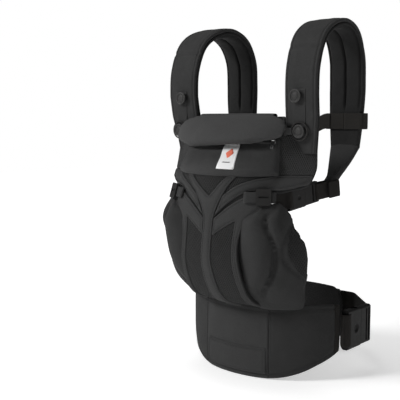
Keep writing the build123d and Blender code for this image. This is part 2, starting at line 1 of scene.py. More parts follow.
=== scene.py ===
from math import cos, pi, radians, sin, tan

import bmesh
import bpy
import numpy as np
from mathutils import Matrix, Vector, noise
from mathutils.geometry import delaunay_2d_cdt


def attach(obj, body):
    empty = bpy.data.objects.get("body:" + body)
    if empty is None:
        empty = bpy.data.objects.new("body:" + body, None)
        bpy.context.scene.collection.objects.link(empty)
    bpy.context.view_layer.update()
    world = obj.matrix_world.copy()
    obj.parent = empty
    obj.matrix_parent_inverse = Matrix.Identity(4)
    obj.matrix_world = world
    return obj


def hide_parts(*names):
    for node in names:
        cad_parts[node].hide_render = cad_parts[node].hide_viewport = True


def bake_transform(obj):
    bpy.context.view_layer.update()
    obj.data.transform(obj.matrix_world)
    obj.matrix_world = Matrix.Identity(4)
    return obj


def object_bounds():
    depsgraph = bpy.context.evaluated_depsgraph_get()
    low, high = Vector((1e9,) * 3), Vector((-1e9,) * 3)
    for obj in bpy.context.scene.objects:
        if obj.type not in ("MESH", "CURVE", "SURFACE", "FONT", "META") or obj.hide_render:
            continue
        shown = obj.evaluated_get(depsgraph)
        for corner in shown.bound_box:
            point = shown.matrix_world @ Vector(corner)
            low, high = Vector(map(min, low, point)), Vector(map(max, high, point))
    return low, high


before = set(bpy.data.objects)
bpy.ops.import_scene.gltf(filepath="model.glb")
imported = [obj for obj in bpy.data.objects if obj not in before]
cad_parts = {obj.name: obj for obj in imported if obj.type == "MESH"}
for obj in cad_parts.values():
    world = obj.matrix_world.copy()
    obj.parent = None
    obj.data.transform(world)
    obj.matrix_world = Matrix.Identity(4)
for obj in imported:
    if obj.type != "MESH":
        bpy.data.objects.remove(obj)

cad_low, cad_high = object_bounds()

# Soft baby carrier. Lengths are millimetres in the row frame until a mesh is made. +X is on the
# right seen from the front, -Y is the front panel's outside, +Z is up.
MM = 0.001
ROOT = "carrier"
SIDES = {"right": 1, "left": -1}

# ---- shape data shared with the CAD ---------------------------------------------------------------
LOOP_HALF_WIDTH = 152
LOOP_HALF_DEPTH = 122
BELT_SEAM_X = 60
BELT_END_Y = -42
BELT_LOW = [(-130, -1), (-112, 1), (-92, 11), (-71, 25), (-53, 36), (-42, 44)]
BELT_HIGH = [(-130, 112), (-104, 112), (-86, 118), (-64, 118.5), (-42, 116)]

# The panel's front face: height, Y on the centre line, Y where the round front meets the flat side.
PANEL_LEVELS = [
    (112.3, -124, -100),
    (120, -147, -122),
    (135, -166, -150),
    (150, -176, -158),
    (170, -185, -165),
    (190, -190, -168),
    (212, -189, -167),
    (240, -185, -164),
    (262, -183, -160),
    (285, -183, -153),
    (314, -185, -135),
    (322, -181, -132),
    (341, -163, -127),
    (366, -140, -121),
    (402, -106, -100),
]
PANEL_SIDE_X = 92
PANEL_EDGE_X = 135
PANEL_SIDE_RISE = 28
POCKET_BOTTOM = 316
POCKET_TOP = 368

# Leg pads: height, front, middle and rear of the outer arc seen from above, and thickness.
LEG_LEVELS = [
    (110, (63, -116), (87, -99.5), (103.5, -78), 11),
    (122, (62, -134), (93, -113), (110, -84), 14),
    (150, (61, -152), (102, -133), (113, -87), 17),
    (180, (60, -166), (111, -139), (116, -91), 18),
    (215, (60, -170), (116, -143), (118, -102), 18),
    (242, (64, -167), (116, -147), (113, -120), 18),
    (258, (69, -165), (112, -151), (112, -128), 17),
    (270, (76, -162), (107, -153), (109, -135), 13),
    (279, (84, -159), (100, -154), (104, -144), 8),
]

# Head support: height, half width, Y of the ends, of the back and of the front.
HEAD_LEVELS = [
    (355, 58, -154, -162, -171),
    (364, 96, -139, -156, -177),
    (376, 103, -132, -143, -171),
    (388, 101, -126, -130, -158),
    (397, 92, -121, -122, -141),
    (402, 80, -117, -114.5, -125),
]

# Shoulder strap's middle line from the panel over the shoulder and down the back, as (Y, Z).
STRAP_LINE = [
    (-103, 348),
    (-106, 373),
    (-109, 425),
    (-106, 475),
    (-86, 516),
    (-52, 535),
    (-25, 538.5),
    (8, 525),
    (27, 494),
    (31, 455),
    (31, 420),
    (31, 385),
    (31, 352),
]
BUTTONS = [(109.4, -117.9, 429.3), (115, -116.3, 379)]


def unit(vectors):
    return vectors / np.maximum(np.linalg.norm(vectors, axis=-1, keepdims=True), 1e-9)


def smooth(levels):
    """Smooth function through (position, value or values) pairs."""
    t = np.array([row[0] for row in levels], float)
    y = np.array([np.ravel(row[1:]) for row in levels], float)
    step = np.diff(t)
    slope = np.diff(y, axis=0) / step[:, None]
    weight = (step[1:] / (step[:-1] + step[1:]))[:, None]
    tangent = np.vstack([slope[:1], slope[:-1] * weight + slope[1:] * (1 - weight), slope[-1:]])

    def value(at):
        at = np.clip(np.asarray(at, float), t[0], t[-1])
        i = np.clip(np.searchsorted(t, at) - 1, 0, len(step) - 1)
        h = step[i]
        u = ((at - t[i]) / h)[..., None]
        h = h[..., None]
        return (
            y[i] * (2 * u**3 - 3 * u**2 + 1)
            + tangent[i] * h * (u**3 - 2 * u**2 + u)
            + y[i + 1] * (3 * u**2 - 2 * u**3)
            + tangent[i + 1] * h * (u**3 - u**2)
        )

    return value


def spline(points, count=24):
    """Points along a smooth open line through the given ones, evenly spaced."""
    points = np.array(points, float)
    run = np.r_[0, np.cumsum(np.linalg.norm(np.diff(points, axis=0), axis=1))]
    line = smooth([(s, *p) for s, p in zip(run, points)])
    fine = line(np.linspace(0, run[-1], 12 * count))
    length = np.r_[0, np.cumsum(np.linalg.norm(np.diff(fine, axis=0), axis=1))]
    at = np.linspace(0, length[-1], count)
    return np.stack([np.interp(at, length, fine[:, k]) for k in range(points.shape[1])], axis=1)


def evenly(points, step):
    """The same line with its points a step apart."""
    points = np.asarray(points, float)
    length = np.r_[0, np.cumsum(np.linalg.norm(np.diff(points, axis=0), axis=1))]
    at = np.linspace(0, length[-1], max(int(round(length[-1] / step)), 1) + 1)
    return np.stack([np.interp(at, length, points[:, k]) for k in range(points.shape[1])], axis=1)


def rounded(corners, radii):
    """Polyline with each inner corner replaced by a short curve."""
    corners = [np.array(c, float) for c in corners]
    line = [corners[0]]
    for before, corner, after, radius in zip(corners, corners[1:], corners[2:], radii):
        back, ahead = unit(before - corner), unit(after - corner)
        cut = min(
            radius,
            0.48 * np.linalg.norm(before - corner),
            0.48 * np.linalg.norm(after - corner),
        )
        for t in np.linspace(0, 1, 7):
            start, end = corner + back * cut, corner + ahead * cut
            line.append(start * (1 - t) ** 2 + 2 * corner * t * (1 - t) + end * t**2)
    return np.array(line + [corners[-1]])


def ripple(points, size, seed=0.0):
    """Smooth random value from -1 to 1 for each point, with folds about this size."""
    return np.array([noise.noise(Vector(p) / size + Vector((seed, 0, 0))) for p in points])


def dip(distance, width):
    return np.exp(-((distance / width) ** 2))


# ---- surfaces that flat pieces are laid on --------------------------------------------------------
panel_level = smooth(PANEL_LEVELS)


def panel_y(x, z):
    level = panel_level(z)
    middle, side = level[..., 0], level[..., 1]
    sag = np.maximum(side - middle, 1)
    radius = (PANEL_SIDE_X**2 + sag**2) / (2 * sag)
    reach = np.minimum(np.abs(x), PANEL_SIDE_X)
    beyond = np.maximum(np.abs(x) - PANEL_SIDE_X, 0) / (PANEL_EDGE_X - PANEL_SIDE_X)
    return middle + radius - np.sqrt(radius**2 - reach**2) + PANEL_SIDE_RISE * beyond


def on_panel(flat, height):
    """Places (x, z) points on the panel, at a height in front of its face."""
    x, z = flat[:, 0], flat[:, 1]
    slope_x = (panel_y(x + 1.5, z) - panel_y(x - 1.5, z)) / 3
    slope_z = (panel_y(x, z + 1.5) - panel_y(x, z - 1.5)) / 3
    normal = unit(np.stack([slope_x, -np.ones_like(x), slope_z], axis=1))
    return np.stack([x, panel_y(x, z), z], axis=1) + normal * np.reshape(height, (-1, 1))


def on_belt(flat, height):
    """Places (x, z) points on the front of the belt."""
    angle = np.arccos(flat[:, 0] / LOOP_HALF_WIDTH)
    normal = unit(
        np.stack([np.cos(angle) / LOOP_HALF_WIDTH, -np.sin(angle) / LOOP_HALF_DEPTH, 0 * angle], axis=1)
    )
    base = np.stack([flat[:, 0], -LOOP_HALF_DEPTH * np.sin(angle), flat[:, 1]], axis=1)
    return base + normal * np.reshape(height, (-1, 1))


LUMBAR_RADIUS = 171.4
LUMBAR_CENTRE_Y = -62.6


def on_lumbar(flat, height):
    """Places (x, z) points on the outside of the lumbar pad."""
    angle = flat[:, 0] / LUMBAR_RADIUS
    out = np.stack([np.sin(angle), np.cos(angle), 0 * angle], axis=1)
    base = np.stack([0 * angle, 0 * angle + LUMBAR_CENTRE_Y, flat[:, 1]], axis=1)
    return base + out * (LUMBAR_RADIUS + np.reshape(height, (-1, 1)))


# ---- meshes ---------------------------------------------------------------------------------------
def make_object(name, points, faces, paint, slot, body=ROOT, stands_for=()):
    """Mesh piece in metres, with its material, its body and the CAD it stands for. Its slot is not used."""
    mesh = bpy.data.meshes.new(name)
    mesh.from_pydata((np.asarray(points) * MM).tolist(), [], [list(map(int, f)) for f in faces])
    mesh.validate()
    mesh.materials.append(paint)
    mesh.shade_smooth()
    piece = bpy.data.objects.new(name, mesh)
    bpy.context.scene.collection.objects.link(piece)
    if body:
        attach(piece, body)
    if stands_for:
        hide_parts(*stands_for)
    return piece


def grid_faces(rows, columns):
    """Faces between neighbouring closed rings."""
    faces = []
    for i in range(rows - 1):
        for j in range(columns):
            k = (j + 1) % columns
            a, b = i * columns, (i + 1) * columns
            faces.append((a + j, a + k, b + k, b + j))
    return faces


def tube(name, rings, paint, slot, **where):
    """Closed piece from a stack of closed rings of points."""
    rings = np.asarray(rings, float)
    rows, columns = rings.shape[:2]
    faces = grid_faces(rows, columns)
    ends = [rings[0].mean(axis=0), rings[-1].mean(axis=0)]
    points = np.vstack([rings.reshape(-1, 3), ends])
    first, last = rows * columns, rows * columns + 1
    base = (rows - 1) * columns
    for j in range(columns):
        k = (j + 1) % columns
        faces.append((first, k, j))
        faces.append((last, base + j, base + k))
    piece = make_object(name, points, faces, paint, slot, **where)
    face_out(piece)
    return piece


def face_out(piece):
    """Turns a closed mesh's faces outwards."""
    work = bmesh.new()
    work.from_mesh(piece.data)
    bmesh.ops.recalc_face_normals(work, faces=work.faces)
    work.to_mesh(piece.data)
    work.free()


def inside(points, loop):
    x, y = points[:, :1], points[:, 1:2]
    x0, y0 = loop[:, 0], loop[:, 1]
    x1, y1 = np.roll(x0, -1), np.roll(y0, -1)
    crosses = (y0 > y) != (y1 > y)
    with np.errstate(divide="ignore", invalid="ignore"):
        at = (x1 - x0) * (y - y0) / (y1 - y0) + x0
    return (crosses & (x < at)).sum(axis=1) % 2 == 1


def edge_distance(points, loop):
    start, end = loop, np.roll(loop, -1, axis=0)
    along = end - start
    share = ((points[:, None] - start) * along).sum(-1) / np.maximum((along**2).sum(-1), 1e-9)
    nearest = start + np.clip(share, 0, 1)[..., None] * along
    return np.linalg.norm(points[:, None] - nearest, axis=-1).min(axis=1)


def inset(loop, distance):
    """Points of a closed outline moved inwards, without the ones that cross at corners."""
    along = unit(np.roll(loop, -1, axis=0) - np.roll(loop, 1, axis=0))
    normal = np.stack([-along[:, 1], along[:, 0]], axis=1)
    if not inside(loop + normal * 0.2, loop).mean() > 0.5:
        normal = -normal
    moved = loop + normal * distance
    keep = inside(moved, loop) & (edge_distance(moved, loop) > 0.94 * distance)
    return moved, keep


EDGE_ROWS = (0.8, 1.9, 3.0, 4.2)    # rows of points along a patch's edge, by their distance from it
FIELD_START = 5.6                   # where the patch's even field of points begins
FIELD_ROW = 0.87                    # spacing of the field's rows, as a share of its columns'
SEAM_IN = 3.0                       # a sewn seam's distance from the edge
SEAM_WIDTH = 1.0
EDGE_SHARE = 0.4                    # thickness left at a patch's edge, as a share of its middle


def patch(
    name, outline, low, high, paint, slot, place=on_panel, roll=2.5, seam=0.5, wrinkle=0.3, step=4.0,
    shape=None, **where
):
    """Closed layer of cloth inside an outline: its back at height low, its front at height high.
    The front rolls over at the edge, dips along the seam, and wrinkles a little."""
    loop = evenly(np.vstack([outline, outline[:1]]), 3.0)[:-1]
    cloud = [loop]
    for distance in EDGE_ROWS:
        moved, keep = inset(loop, distance)
        cloud.append(moved[keep])
    low_corner, high_corner = loop.min(axis=0), loop.max(axis=0)
    columns = np.arange(low_corner[0], high_corner[0], step)
    rows = np.arange(low_corner[1], high_corner[1], step * FIELD_ROW)
    mesh_x, mesh_z = np.meshgrid(columns, rows)
    mesh_x = mesh_x + (np.arange(len(rows)) % 2)[:, None] * step / 2
    field = np.stack([mesh_x.ravel(), mesh_z.ravel()], axis=1)
    field = field[inside(field, loop)]
    field = field[edge_distance(field, loop) > FIELD_START]
    flat = np.vstack(cloud + [field])
    count = len(loop)
    edges = [(i, (i + 1) % count) for i in range(count)]
    found = delaunay_2d_cdt([Vector(p) for p in flat], edges, [list(range(count))], 1, 1e-5)
    flat = np.array([tuple(v) for v in found[0]])
    triangles = [f for f in found[2] if len(f) == 3]
    distance = edge_distance(flat, loop)
    turn = np.clip(distance / roll, 0, 1)
    height = low + (high - low) * (EDGE_SHARE + (1 - EDGE_SHARE) * np.sqrt(1 - (1 - turn) ** 2))
    height = height - 1.7 * seam * dip(distance - SEAM_IN, SEAM_WIDTH)
    away = np.clip((distance - 2) / 10, 0, 1)
    height = height + wrinkle * away * ripple(np.c_[flat, 0 * flat[:, :1]], 16, len(name))
    if shape is not None:
        height = height + shape(flat, distance)
    front, back = place(flat, height), place(flat, np.full(len(flat), float(low)))
    total = len(flat)
    faces = list(triangles) + [tuple(i + total for i in reversed(f)) for f in triangles]
    sides = {(a, b) for face in triangles for a, b in zip(face, face[1:] + face[:1])}
    for a, b in sides:
        if (b, a) not in sides:
            faces.append((b, a, a + total, b + total))
    piece = make_object(name, np.vstack([front, back]), faces, paint, slot, **where)
    face_out(piece)
    return piece


def ribbon(name, path, across, width, paint, slot, thick=2.0, step=4.0, **where):
    """Flat webbing along a 3-D path, its width along a fixed direction."""
    path = evenly(path, step)
    across = unit(np.array(across, float))
    along = unit(np.gradient(path, axis=0))
    normal = unit(np.cross(along, across))
    angle = np.linspace(0, 2 * pi, 20, endpoint=False)
    wide = np.sign(np.cos(angle)) * np.abs(np.cos(angle)) ** 0.35 * width / 2
    deep = np.sign(np.sin(angle)) * np.abs(np.sin(angle)) ** 0.6 * thick / 2
    rings = path[:, None] + across * wide[:, None] + normal[:, None] * deep[:, None]
    return tube(name, rings, paint, slot, **where)


# A stitch's eight faces. Its six corners are its two ends, its top and foot, and its two sides.
STITCH_FACES = [(2, 0, 4), (2, 4, 1), (2, 1, 5), (2, 5, 0), (3, 4, 0), (3, 1, 4), (3, 5, 1), (3, 0, 5)]


def stitches(name, rows, paint, slot, pitch=3.6, length=2.5, size=0.4, **where):
    """Sewing thread: one short raised stitch per pitch along each row of (points, normals)."""
    points, faces = [], []
    for line, normals in rows:
        both = np.hstack([line, normals])
        run = np.r_[0, np.cumsum(np.linalg.norm(np.diff(line, axis=0), axis=1))]
        if run[-1] < pitch:
            continue
        at = np.linspace(pitch / 2, run[-1] - pitch / 2, max(int(run[-1] / pitch), 2))
        values = np.stack([np.interp(at, run, both[:, k]) for k in range(6)], axis=1)
        spots, outs = values[:, :3], unit(values[:, 3:])
        alongs = unit(np.gradient(spots, axis=0))
        for spot, out, along in zip(spots, outs, alongs):
            side = np.cross(along, out)
            base = len(points)
            points += [
                spot + along * length / 2,
                spot - along * length / 2,
                spot + out * size,
                spot - out * size,
                spot + side * size,
                spot - side * size,
            ]
            faces += [tuple(base + c for c in corner) for corner in STITCH_FACES]
    return make_object(name, points, faces, paint, slot, **where)


def row_on(place, flat, height, shape=None):
    """A stitch row on a surface: its points and its normals."""
    flat = evenly(flat, 2.0)
    level = np.full(len(flat), float(height)) + (shape(flat, 0) if shape else 0)
    line = place(flat, level)
    return line, unit(place(flat, level + 1.0) - line)


# ---- materials ------------------------------------------------------------------------------------
def grey(value):
    """Linear colour of a neutral screen grey from 0 to 255."""
    share = value / 255
    return ((share + 0.055) / 1.055) ** 2.4 if share > 0.04 else share / 12.92


class Paint:
    """Small helper that wires one material."""

    def __init__(self, name):
        self.material = bpy.data.materials.new(name)
        self.material.use_nodes = True
        self.tree = self.material.node_tree
        self.shader = self.tree.nodes["Principled BSDF"]
        self.place = self.tree.nodes.new("ShaderNodeTexCoord").outputs["Object"]

    def node(self, kind, **settings):
        made = self.tree.nodes.new(kind)
        for key, value in settings.items():
            setattr(made, key, value)
        return made

    def link(self, source, target):
        self.tree.links.new(source, target)

    def noise(self, size, detail=3.0, rough=0.6):
        made = self.node("ShaderNodeTexNoise")
        made.inputs["Scale"].default_value = 1 / (size * MM)
        made.inputs["Detail"].default_value = detail
        made.inputs["Roughness"].default_value = rough
        self.link(self.place, made.inputs["Vector"])
        return made.outputs["Fac"]

    def math(self, operation, a, b=0.0, c=0.0):
        made = self.node("ShaderNodeMath", operation=operation)
        for socket, value in zip(made.inputs, (a, b, c)):
            if isinstance(value, (int, float)):
                socket.default_value = value
            else:
                self.link(value, socket)
        return made.outputs[0]

    def wave(self, period, x, y, z):
        """Sine from 0 to 1 along a direction."""
        dot = self.node("ShaderNodeVectorMath", operation="DOT_PRODUCT")
        self.link(self.place, dot.inputs[0])
        scale = 2 * pi / (period * MM)
        dot.inputs[1].default_value = (x * scale, y * scale, z * scale)
        return self.math("MULTIPLY_ADD", self.math("SINE", dot.outputs["Value"]), 0.5, 0.5)

    def edge_wear_and_crease_shade(self, value, strength):
        """A value made higher on outer edges, as wear, and lower in creases and recesses, as painted shade.
        """
        edge = self.node("ShaderNodeNewGeometry").outputs["Pointiness"]
        share = self.math("ADD", value, self.math("MULTIPLY", self.math("SUBTRACT", edge, 0.5), strength))
        share.node.use_clamp = True
        return share

    def spread(self, value, low, high):
        made = self.node("ShaderNodeMapRange")
        made.inputs["To Min"].default_value = low
        made.inputs["To Max"].default_value = high
        self.link(value, made.inputs["Value"])
        return made.outputs["Result"]

    def colour(self, dark, light, share):
        made = self.node("ShaderNodeMix", data_type="RGBA")
        made.inputs[6].default_value = (*dark, 1)
        made.inputs[7].default_value = (*light, 1)
        self.link(share, made.inputs[0])
        self.link(made.outputs[2], self.shader.inputs["Base Color"])

    def bump(self, height, distance, strength=1.0):
        made = self.node("ShaderNodeBump")
        made.inputs["Distance"].default_value = distance * MM
        made.inputs["Strength"].default_value = strength
        self.link(height, made.inputs["Height"])
        self.link(made.outputs["Normal"], self.shader.inputs["Normal"])

    def roughness(self, value, low, high):
        self.link(self.spread(value, low, high), self.shader.inputs["Roughness"])

    def constant(self, **values):
        for key, value in values.items():
            self.shader.inputs[key.replace("_", " ")].default_value = value


def shades(value, warm=0.0):
    level = grey(value)
    return (level * (1 + warm), level, level * (1 - warm))


WEAVE_WEIGHT = 0.32
FLUFF_WEIGHT = 0.22
HEATHER_WEIGHT = 0.26
PATCH_WEIGHT = 0.20
HEATHER_SIZE = 2.4          # millimetres
PATCH_SIZE = 30


def cloth(name, value, pattern, period, relief, contrast=0.5, sheen=0.02, warm=0.0, colours=None):
    """Cloth of a given weave: its shade, thread period and relief in millimetres. Its two colours
    come from its shade, unless they are given."""
    paint = Paint(name)
    if pattern == "twill":
        weave = paint.wave(period, 0.6, 0.5, 0.8)
    elif pattern == "webbing":
        weave = paint.math(
            "MULTIPLY", paint.wave(period, 0.7, 0.7, 0.7), paint.wave(period, 0.7, 0.7, -0.7)
        )
    elif pattern == "mesh":
        first = paint.wave(period, 0.9, 0.4, 0.5)
        second = paint.wave(period, 0.9, 0.4, -0.5)
        weave = paint.math("SUBTRACT", 1.0, paint.math("MULTIPLY", first, second))
    else:
        weave = paint.noise(period, 4.0, 0.7)
    fluff = paint.noise(period * 1.7, 5.0, 0.75)
    heather = paint.noise(HEATHER_SIZE, 4.0, 0.8)
    patches = paint.noise(PATCH_SIZE, 3.0, 0.6)
    mixed = paint.math("MULTIPLY", weave, WEAVE_WEIGHT)
    for layer, weight in ((fluff, FLUFF_WEIGHT), (heather, HEATHER_WEIGHT), (patches, PATCH_WEIGHT)):
        mixed = paint.math("ADD", mixed, paint.math("MULTIPLY", layer, weight))
    if colours is None:
        colours = shades(value * (1 - contrast), warm), shades(value * (1 + contrast), warm)
    # Tone noise sets the colour, lighter on outer edges as wear and darker in creases as painted shade.
    paint.colour(*colours, paint.edge_wear_and_crease_shade(mixed, 1.6))
    paint.roughness(fluff, 0.78, 0.96)
    paint.bump(paint.math("ADD", weave, paint.math("MULTIPLY", fluff, 0.7)), relief)
    paint.constant(Sheen_Weight=sheen, Sheen_Roughness=0.5, Specular_IOR_Level=0.08)
    return paint.material


def plastic(name, value, warm=0.04):
    """Moulded black plastic: fine grain, handling marks, lighter rubbed edges and painted shade in its
    creases.
    """
    paint = Paint(name)
    grain = paint.noise(0.6, 4.0, 0.7)
    marks = paint.noise(9, 5.0, 0.65)
    # Handling marks, lighter on outer edges as wear and darker in creases and recesses as painted shade.
    share = paint.edge_wear_and_crease_shade(paint.math("MULTIPLY", marks, 0.6), 3.0)
    paint.colour(shades(value * 0.7, warm), shades(value * 1.6, warm), share)
    paint.roughness(marks, 0.46, 0.66)
    paint.bump(paint.math("ADD", grain, paint.math("MULTIPLY", marks, 0.5)), 0.08)
    paint.constant(Specular_IOR_Level=0.22)
    return paint.material


def metal(name):
    """Plated zipper metal with fine scratches."""
    paint = Paint(name)
    scratches = paint.wave(0.5, 0.2, 0.9, 0.4)
    smudges = paint.noise(3, 4.0, 0.6)
    paint.colour(shades(150), shades(215), smudges)
    paint.roughness(smudges, 0.22, 0.45)
    paint.bump(scratches, 0.02)
    paint.constant(Metallic=1.0)
    return paint.material


TWILL = cloth("black_twill", 48, "twill", 1.3, 0.22)
# A darker copy of the same black twill, as painted shade on the belt's sides, leg pads, straps and tails.
TWILL_SHADED = cloth("black_twill_shaded", 43, "twill", 1.3, 0.22)
SOFT = cloth("brushed_jersey", 50, "knit", 1.1, 0.16, sheen=0.04)
# A darker copy of the jersey, as painted shade on the inner, wearer-side faces of the panel and straps.
SOFT_SHADED = cloth("inner_jersey_shaded", 32, "knit", 1.2, 0.2)
# The belt's lining jersey, made darker as painted shade inside the belt.
BELT_LINING_SHADED = cloth("belt_lining_jersey_shaded", 21, "knit", 1.2, 0.2)
MESH_LIGHT = cloth("side_mesh", 37, "mesh", 3.0, 1.0, contrast=0.7)
MESH = cloth("spacer_mesh", 28, "mesh", 3.0, 1.0, contrast=0.85)
WEBBING = cloth("webbing_weave", 37, "webbing", 1.6, 0.3, contrast=0.3, warm=0.07)
ELASTIC = cloth("elastic_weave", 40, "webbing", 1.0, 0.2, warm=0.03)
THREAD = cloth("sewing_thread", 66, "knit", 0.5, 0.05)
TAPE = cloth("zipper_tape_weave", 44, "twill", 0.9, 0.12)
LABEL = cloth("label_satin", 222, "twill", 0.6, 0.06, contrast=0.03, sheen=0.02)
LABEL_PRINT = cloth("label_print", 70, "twill", 0.6, 0.04)
MOTIF = cloth("label_coral_print", 170, "twill", 0.6, 0.04, sheen=0.0,
              colours=((0.62, 0.14, 0.09), (0.72, 0.20, 0.13)))
PLASTIC = plastic("moulded_plastic", 21)
# A darker copy of the same plastic, as painted shade on the waist buckle, which turns away from the key
# light.
PLASTIC_SHADED = plastic("moulded_plastic_waist_shaded", 11)
BUTTON = plastic("button_plastic_grain", 40, 0.02)
METAL = metal("plated_metal")

# CAD nodes that stay as they are and get a better material.
for name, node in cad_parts.items():
    if any(word in name for word in ("socket", "plug", "slider", "zipper_pull")):
        # The waist buckle takes the darker plastic as painted shade.
        paint = PLASTIC_SHADED if name.startswith("waist") else PLASTIC
        node.data.materials.clear()
        node.data.materials.append(METAL if name in ("zipper_slider", "zipper_pull") else paint)


# ---- belt -----------------------------------------------------------------------------------------
belt_bottom = smooth(BELT_LOW)
belt_top = smooth(BELT_HIGH)


RIB_IN = 7                  # the sewn rib along the belt's edges, in from the edge


def belt_ring(angle, outer, inner, grow=0.0, crown=1.0, ribs=1.0, count=56):
    """Section of the belt at an angle of its ellipse, between two depths below its outside."""
    y = LOOP_HALF_DEPTH * sin(angle)
    low = float(belt_bottom(y)[0]) - grow
    high = float(belt_top(y)[0]) + grow
    turn = np.linspace(0, 2 * pi, count, endpoint=False)
    up = np.sign(np.cos(turn)) * np.abs(np.cos(turn)) ** 0.5
    depth = np.sign(np.sin(turn)) * np.abs(np.sin(turn)) ** 0.45
    z = (low + high) / 2 + up * (high - low) / 2
    edge = np.minimum(z - low, high - z)
    swell = crown * np.clip(edge / 25, 0, 1) ** 0.7 - ribs * dip(edge - RIB_IN, 1.6)
    middle, half = (outer + inner) / 2, (inner - outer) / 2
    offset = middle - depth * half - np.where(depth > 0, swell, -swell * 0.3)
    normal = unit(np.array([cos(angle) / LOOP_HALF_WIDTH, sin(angle) / LOOP_HALF_DEPTH]))
    wave = 0.5 * ripple(np.stack([120 * angle + 0 * z, z, 0 * z], axis=1), 18) * np.clip(edge / 9, 0, 1)
    offset = offset - np.where(depth > 0, wave, 0)
    return np.stack(
        [
            LOOP_HALF_WIDTH * cos(angle) - normal[0] * offset,
            LOOP_HALF_DEPTH * sin(angle) - normal[1] * offset,
            z,
        ],
        axis=1,
    )


END_ANGLE = np.arcsin(BELT_END_Y / LOOP_HALF_DEPTH)
SEAM_ANGLE = -np.arccos(BELT_SEAM_X / LOOP_HALF_WIDTH)
BAND = radians(4.2)


def belt_piece(name, start, end, outer, inner, paint, slot, stands_for=(), **shape):
    angles = np.linspace(start, end, max(int(abs(end - start) / radians(1.6)), 3) + 1)
    rings = [belt_ring(a, outer, inner, **shape) for a in angles]
    return tube(name, rings, paint, slot, stands_for=stands_for)


belt_piece(
    "belt_front", -pi - SEAM_ANGLE, SEAM_ANGLE, 0.9, 9.6, TWILL, "twill_fabric",
    ["belt_cover_front", "belt_foam"],
)
for side, start, end in (
    ("right", SEAM_ANGLE, END_ANGLE - BAND),
    ("left", -pi - SEAM_ANGLE, -pi - END_ANGLE + BAND),
):
    belt_piece(f"belt_wing_{side}", start, end, 1.4, 9.6, TWILL_SHADED, "twill_fabric",
               [f"belt_cover_{side}"])
for side, start, end in (
    ("right", END_ANGLE - BAND, END_ANGLE),
    ("left", -pi - END_ANGLE + BAND, -pi - END_ANGLE),
):
    belt_piece(f"belt_end_band_{side}", start, end, 1.0, 10.6, WEBBING, "webbing", crown=0.2, ribs=0)
belt_piece("belt_inside", -pi - END_ANGLE + 0.01, END_ANGLE - 0.01, 9.0, 12.2, BELT_LINING_SHADED, "soft_fabric",
           ["belt_lining"], grow=-2.0, crown=0.4)

POCKET_X = 56
POCKET_LOW = 8
POCKET_HEM = 49


def box_outline(x_low, x_high, z_low, z_high):
    return np.array([(x_low, z_low), (x_high, z_low), (x_high, z_high), (x_low, z_high)])


patch("belt_pocket_flat", box_outline(-POCKET_X, POCKET_X, POCKET_LOW, POCKET_HEM), -0.4, 1.3, TWILL,
      "twill_fabric", place=on_belt, roll=1.2, seam=0.35, wrinkle=0.25, stands_for=["belt_pocket"])

belt_rows = []
for inner_line in (2.2, 5.0):
    z = POCKET_HEM - inner_line
    belt_rows.append(row_on(on_belt, [(-POCKET_X + 2, z), (POCKET_X - 2, z)], 1.3))
for x in (-POCKET_X + 1.6, POCKET_X - 1.6):
    belt_rows.append(row_on(on_belt, [(x, POCKET_LOW + 2), (x, POCKET_HEM - 2)], 1.2))


def belt_spot(angle, height, depth):
    """A point this deep in the belt and its normal; height gives Z from the belt's lower and upper Z."""
    y = LOOP_HALF_DEPTH * sin(angle)
    z = height(float(belt_bottom(y)[0]), float(belt_top(y)[0]))
    normal = unit(np.array([cos(angle) / LOOP_HALF_WIDTH, sin(angle) / LOOP_HALF_DEPTH, 0]))
    return np.array([LOOP_HALF_WIDTH * cos(angle), y, z]) - normal * depth, normal


def belt_row(height):
    """A row of stitches along the whole belt."""
    spots = [belt_spot(angle, height, 0.6) for angle in full_sweep]
    return tuple(np.array(values) for values in zip(*spots))


def belt_column(angle, margin, depth, count):
    """An upright row of stitches that ends this far from the belt's edges."""
    spots = []
    for share in np.linspace(0, 1, count):
        def height(low, high):
            return low + margin + share * (high - low - 2 * margin)

        spots.append(belt_spot(angle, height, depth))
    return tuple(np.array(values) for values in zip(*spots))


full_sweep = np.linspace(-pi - END_ANGLE + BAND, END_ANGLE - BAND, 120)
belt_rows.append(belt_row(lambda low, high: high - RIB_IN))
belt_rows.append(belt_row(lambda low, high: low + RIB_IN))
for angle in (SEAM_ANGLE, -pi - SEAM_ANGLE):
    for shift in (-0.016, 0.016):
        belt_rows.append(belt_column(angle + shift, 5, 0.0, 30))
for angle, inward in ((END_ANGLE, -1), (-pi - END_ANGLE, 1)):
    for shift in (0.018, 0.055):
        belt_rows.append(belt_column(angle + inward * shift, 4, 0.7, 24))
stitches("belt_stitching", belt_rows, THREAD, "twill_fabric")


# ---- waist webbing, buckle webbing and lumbar pad -------------------------------------------------
WAIST_LEVEL = 76
WAIST_WIDTH = 50
NARROW_WIDTH = 25           # side and chest webbing
LUMBAR_Y = 112
RUN_JOIN_X = 62


def level_path(points, z):
    return np.array([(x, y, z) for x, y in points])


long_route = [(-139, BELT_END_Y - 3), (-148, -8), (-141, 42), (-RUN_JOIN_X - 16, LUMBAR_Y),
              (RUN_JOIN_X, LUMBAR_Y)]
long_path = rounded(level_path(long_route, WAIST_LEVEL), [22, 24, 14])
ribbon("waist_webbing", long_path, (0, 0, 1), WAIST_WIDTH, WEBBING, "webbing",
       stands_for=["waist_webbing_long"])
run_route = [(145.5, 35.9), (141, 46), (78, LUMBAR_Y), (RUN_JOIN_X - 2, LUMBAR_Y)]
run_path = rounded(level_path(run_route, WAIST_LEVEL), [4, 14])
run = ribbon("waist_webbing_free", run_path, (0, 0, 1), WAIST_WIDTH, WEBBING, "webbing", body=None,
             stands_for=["waist_webbing_run"])
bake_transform(run)


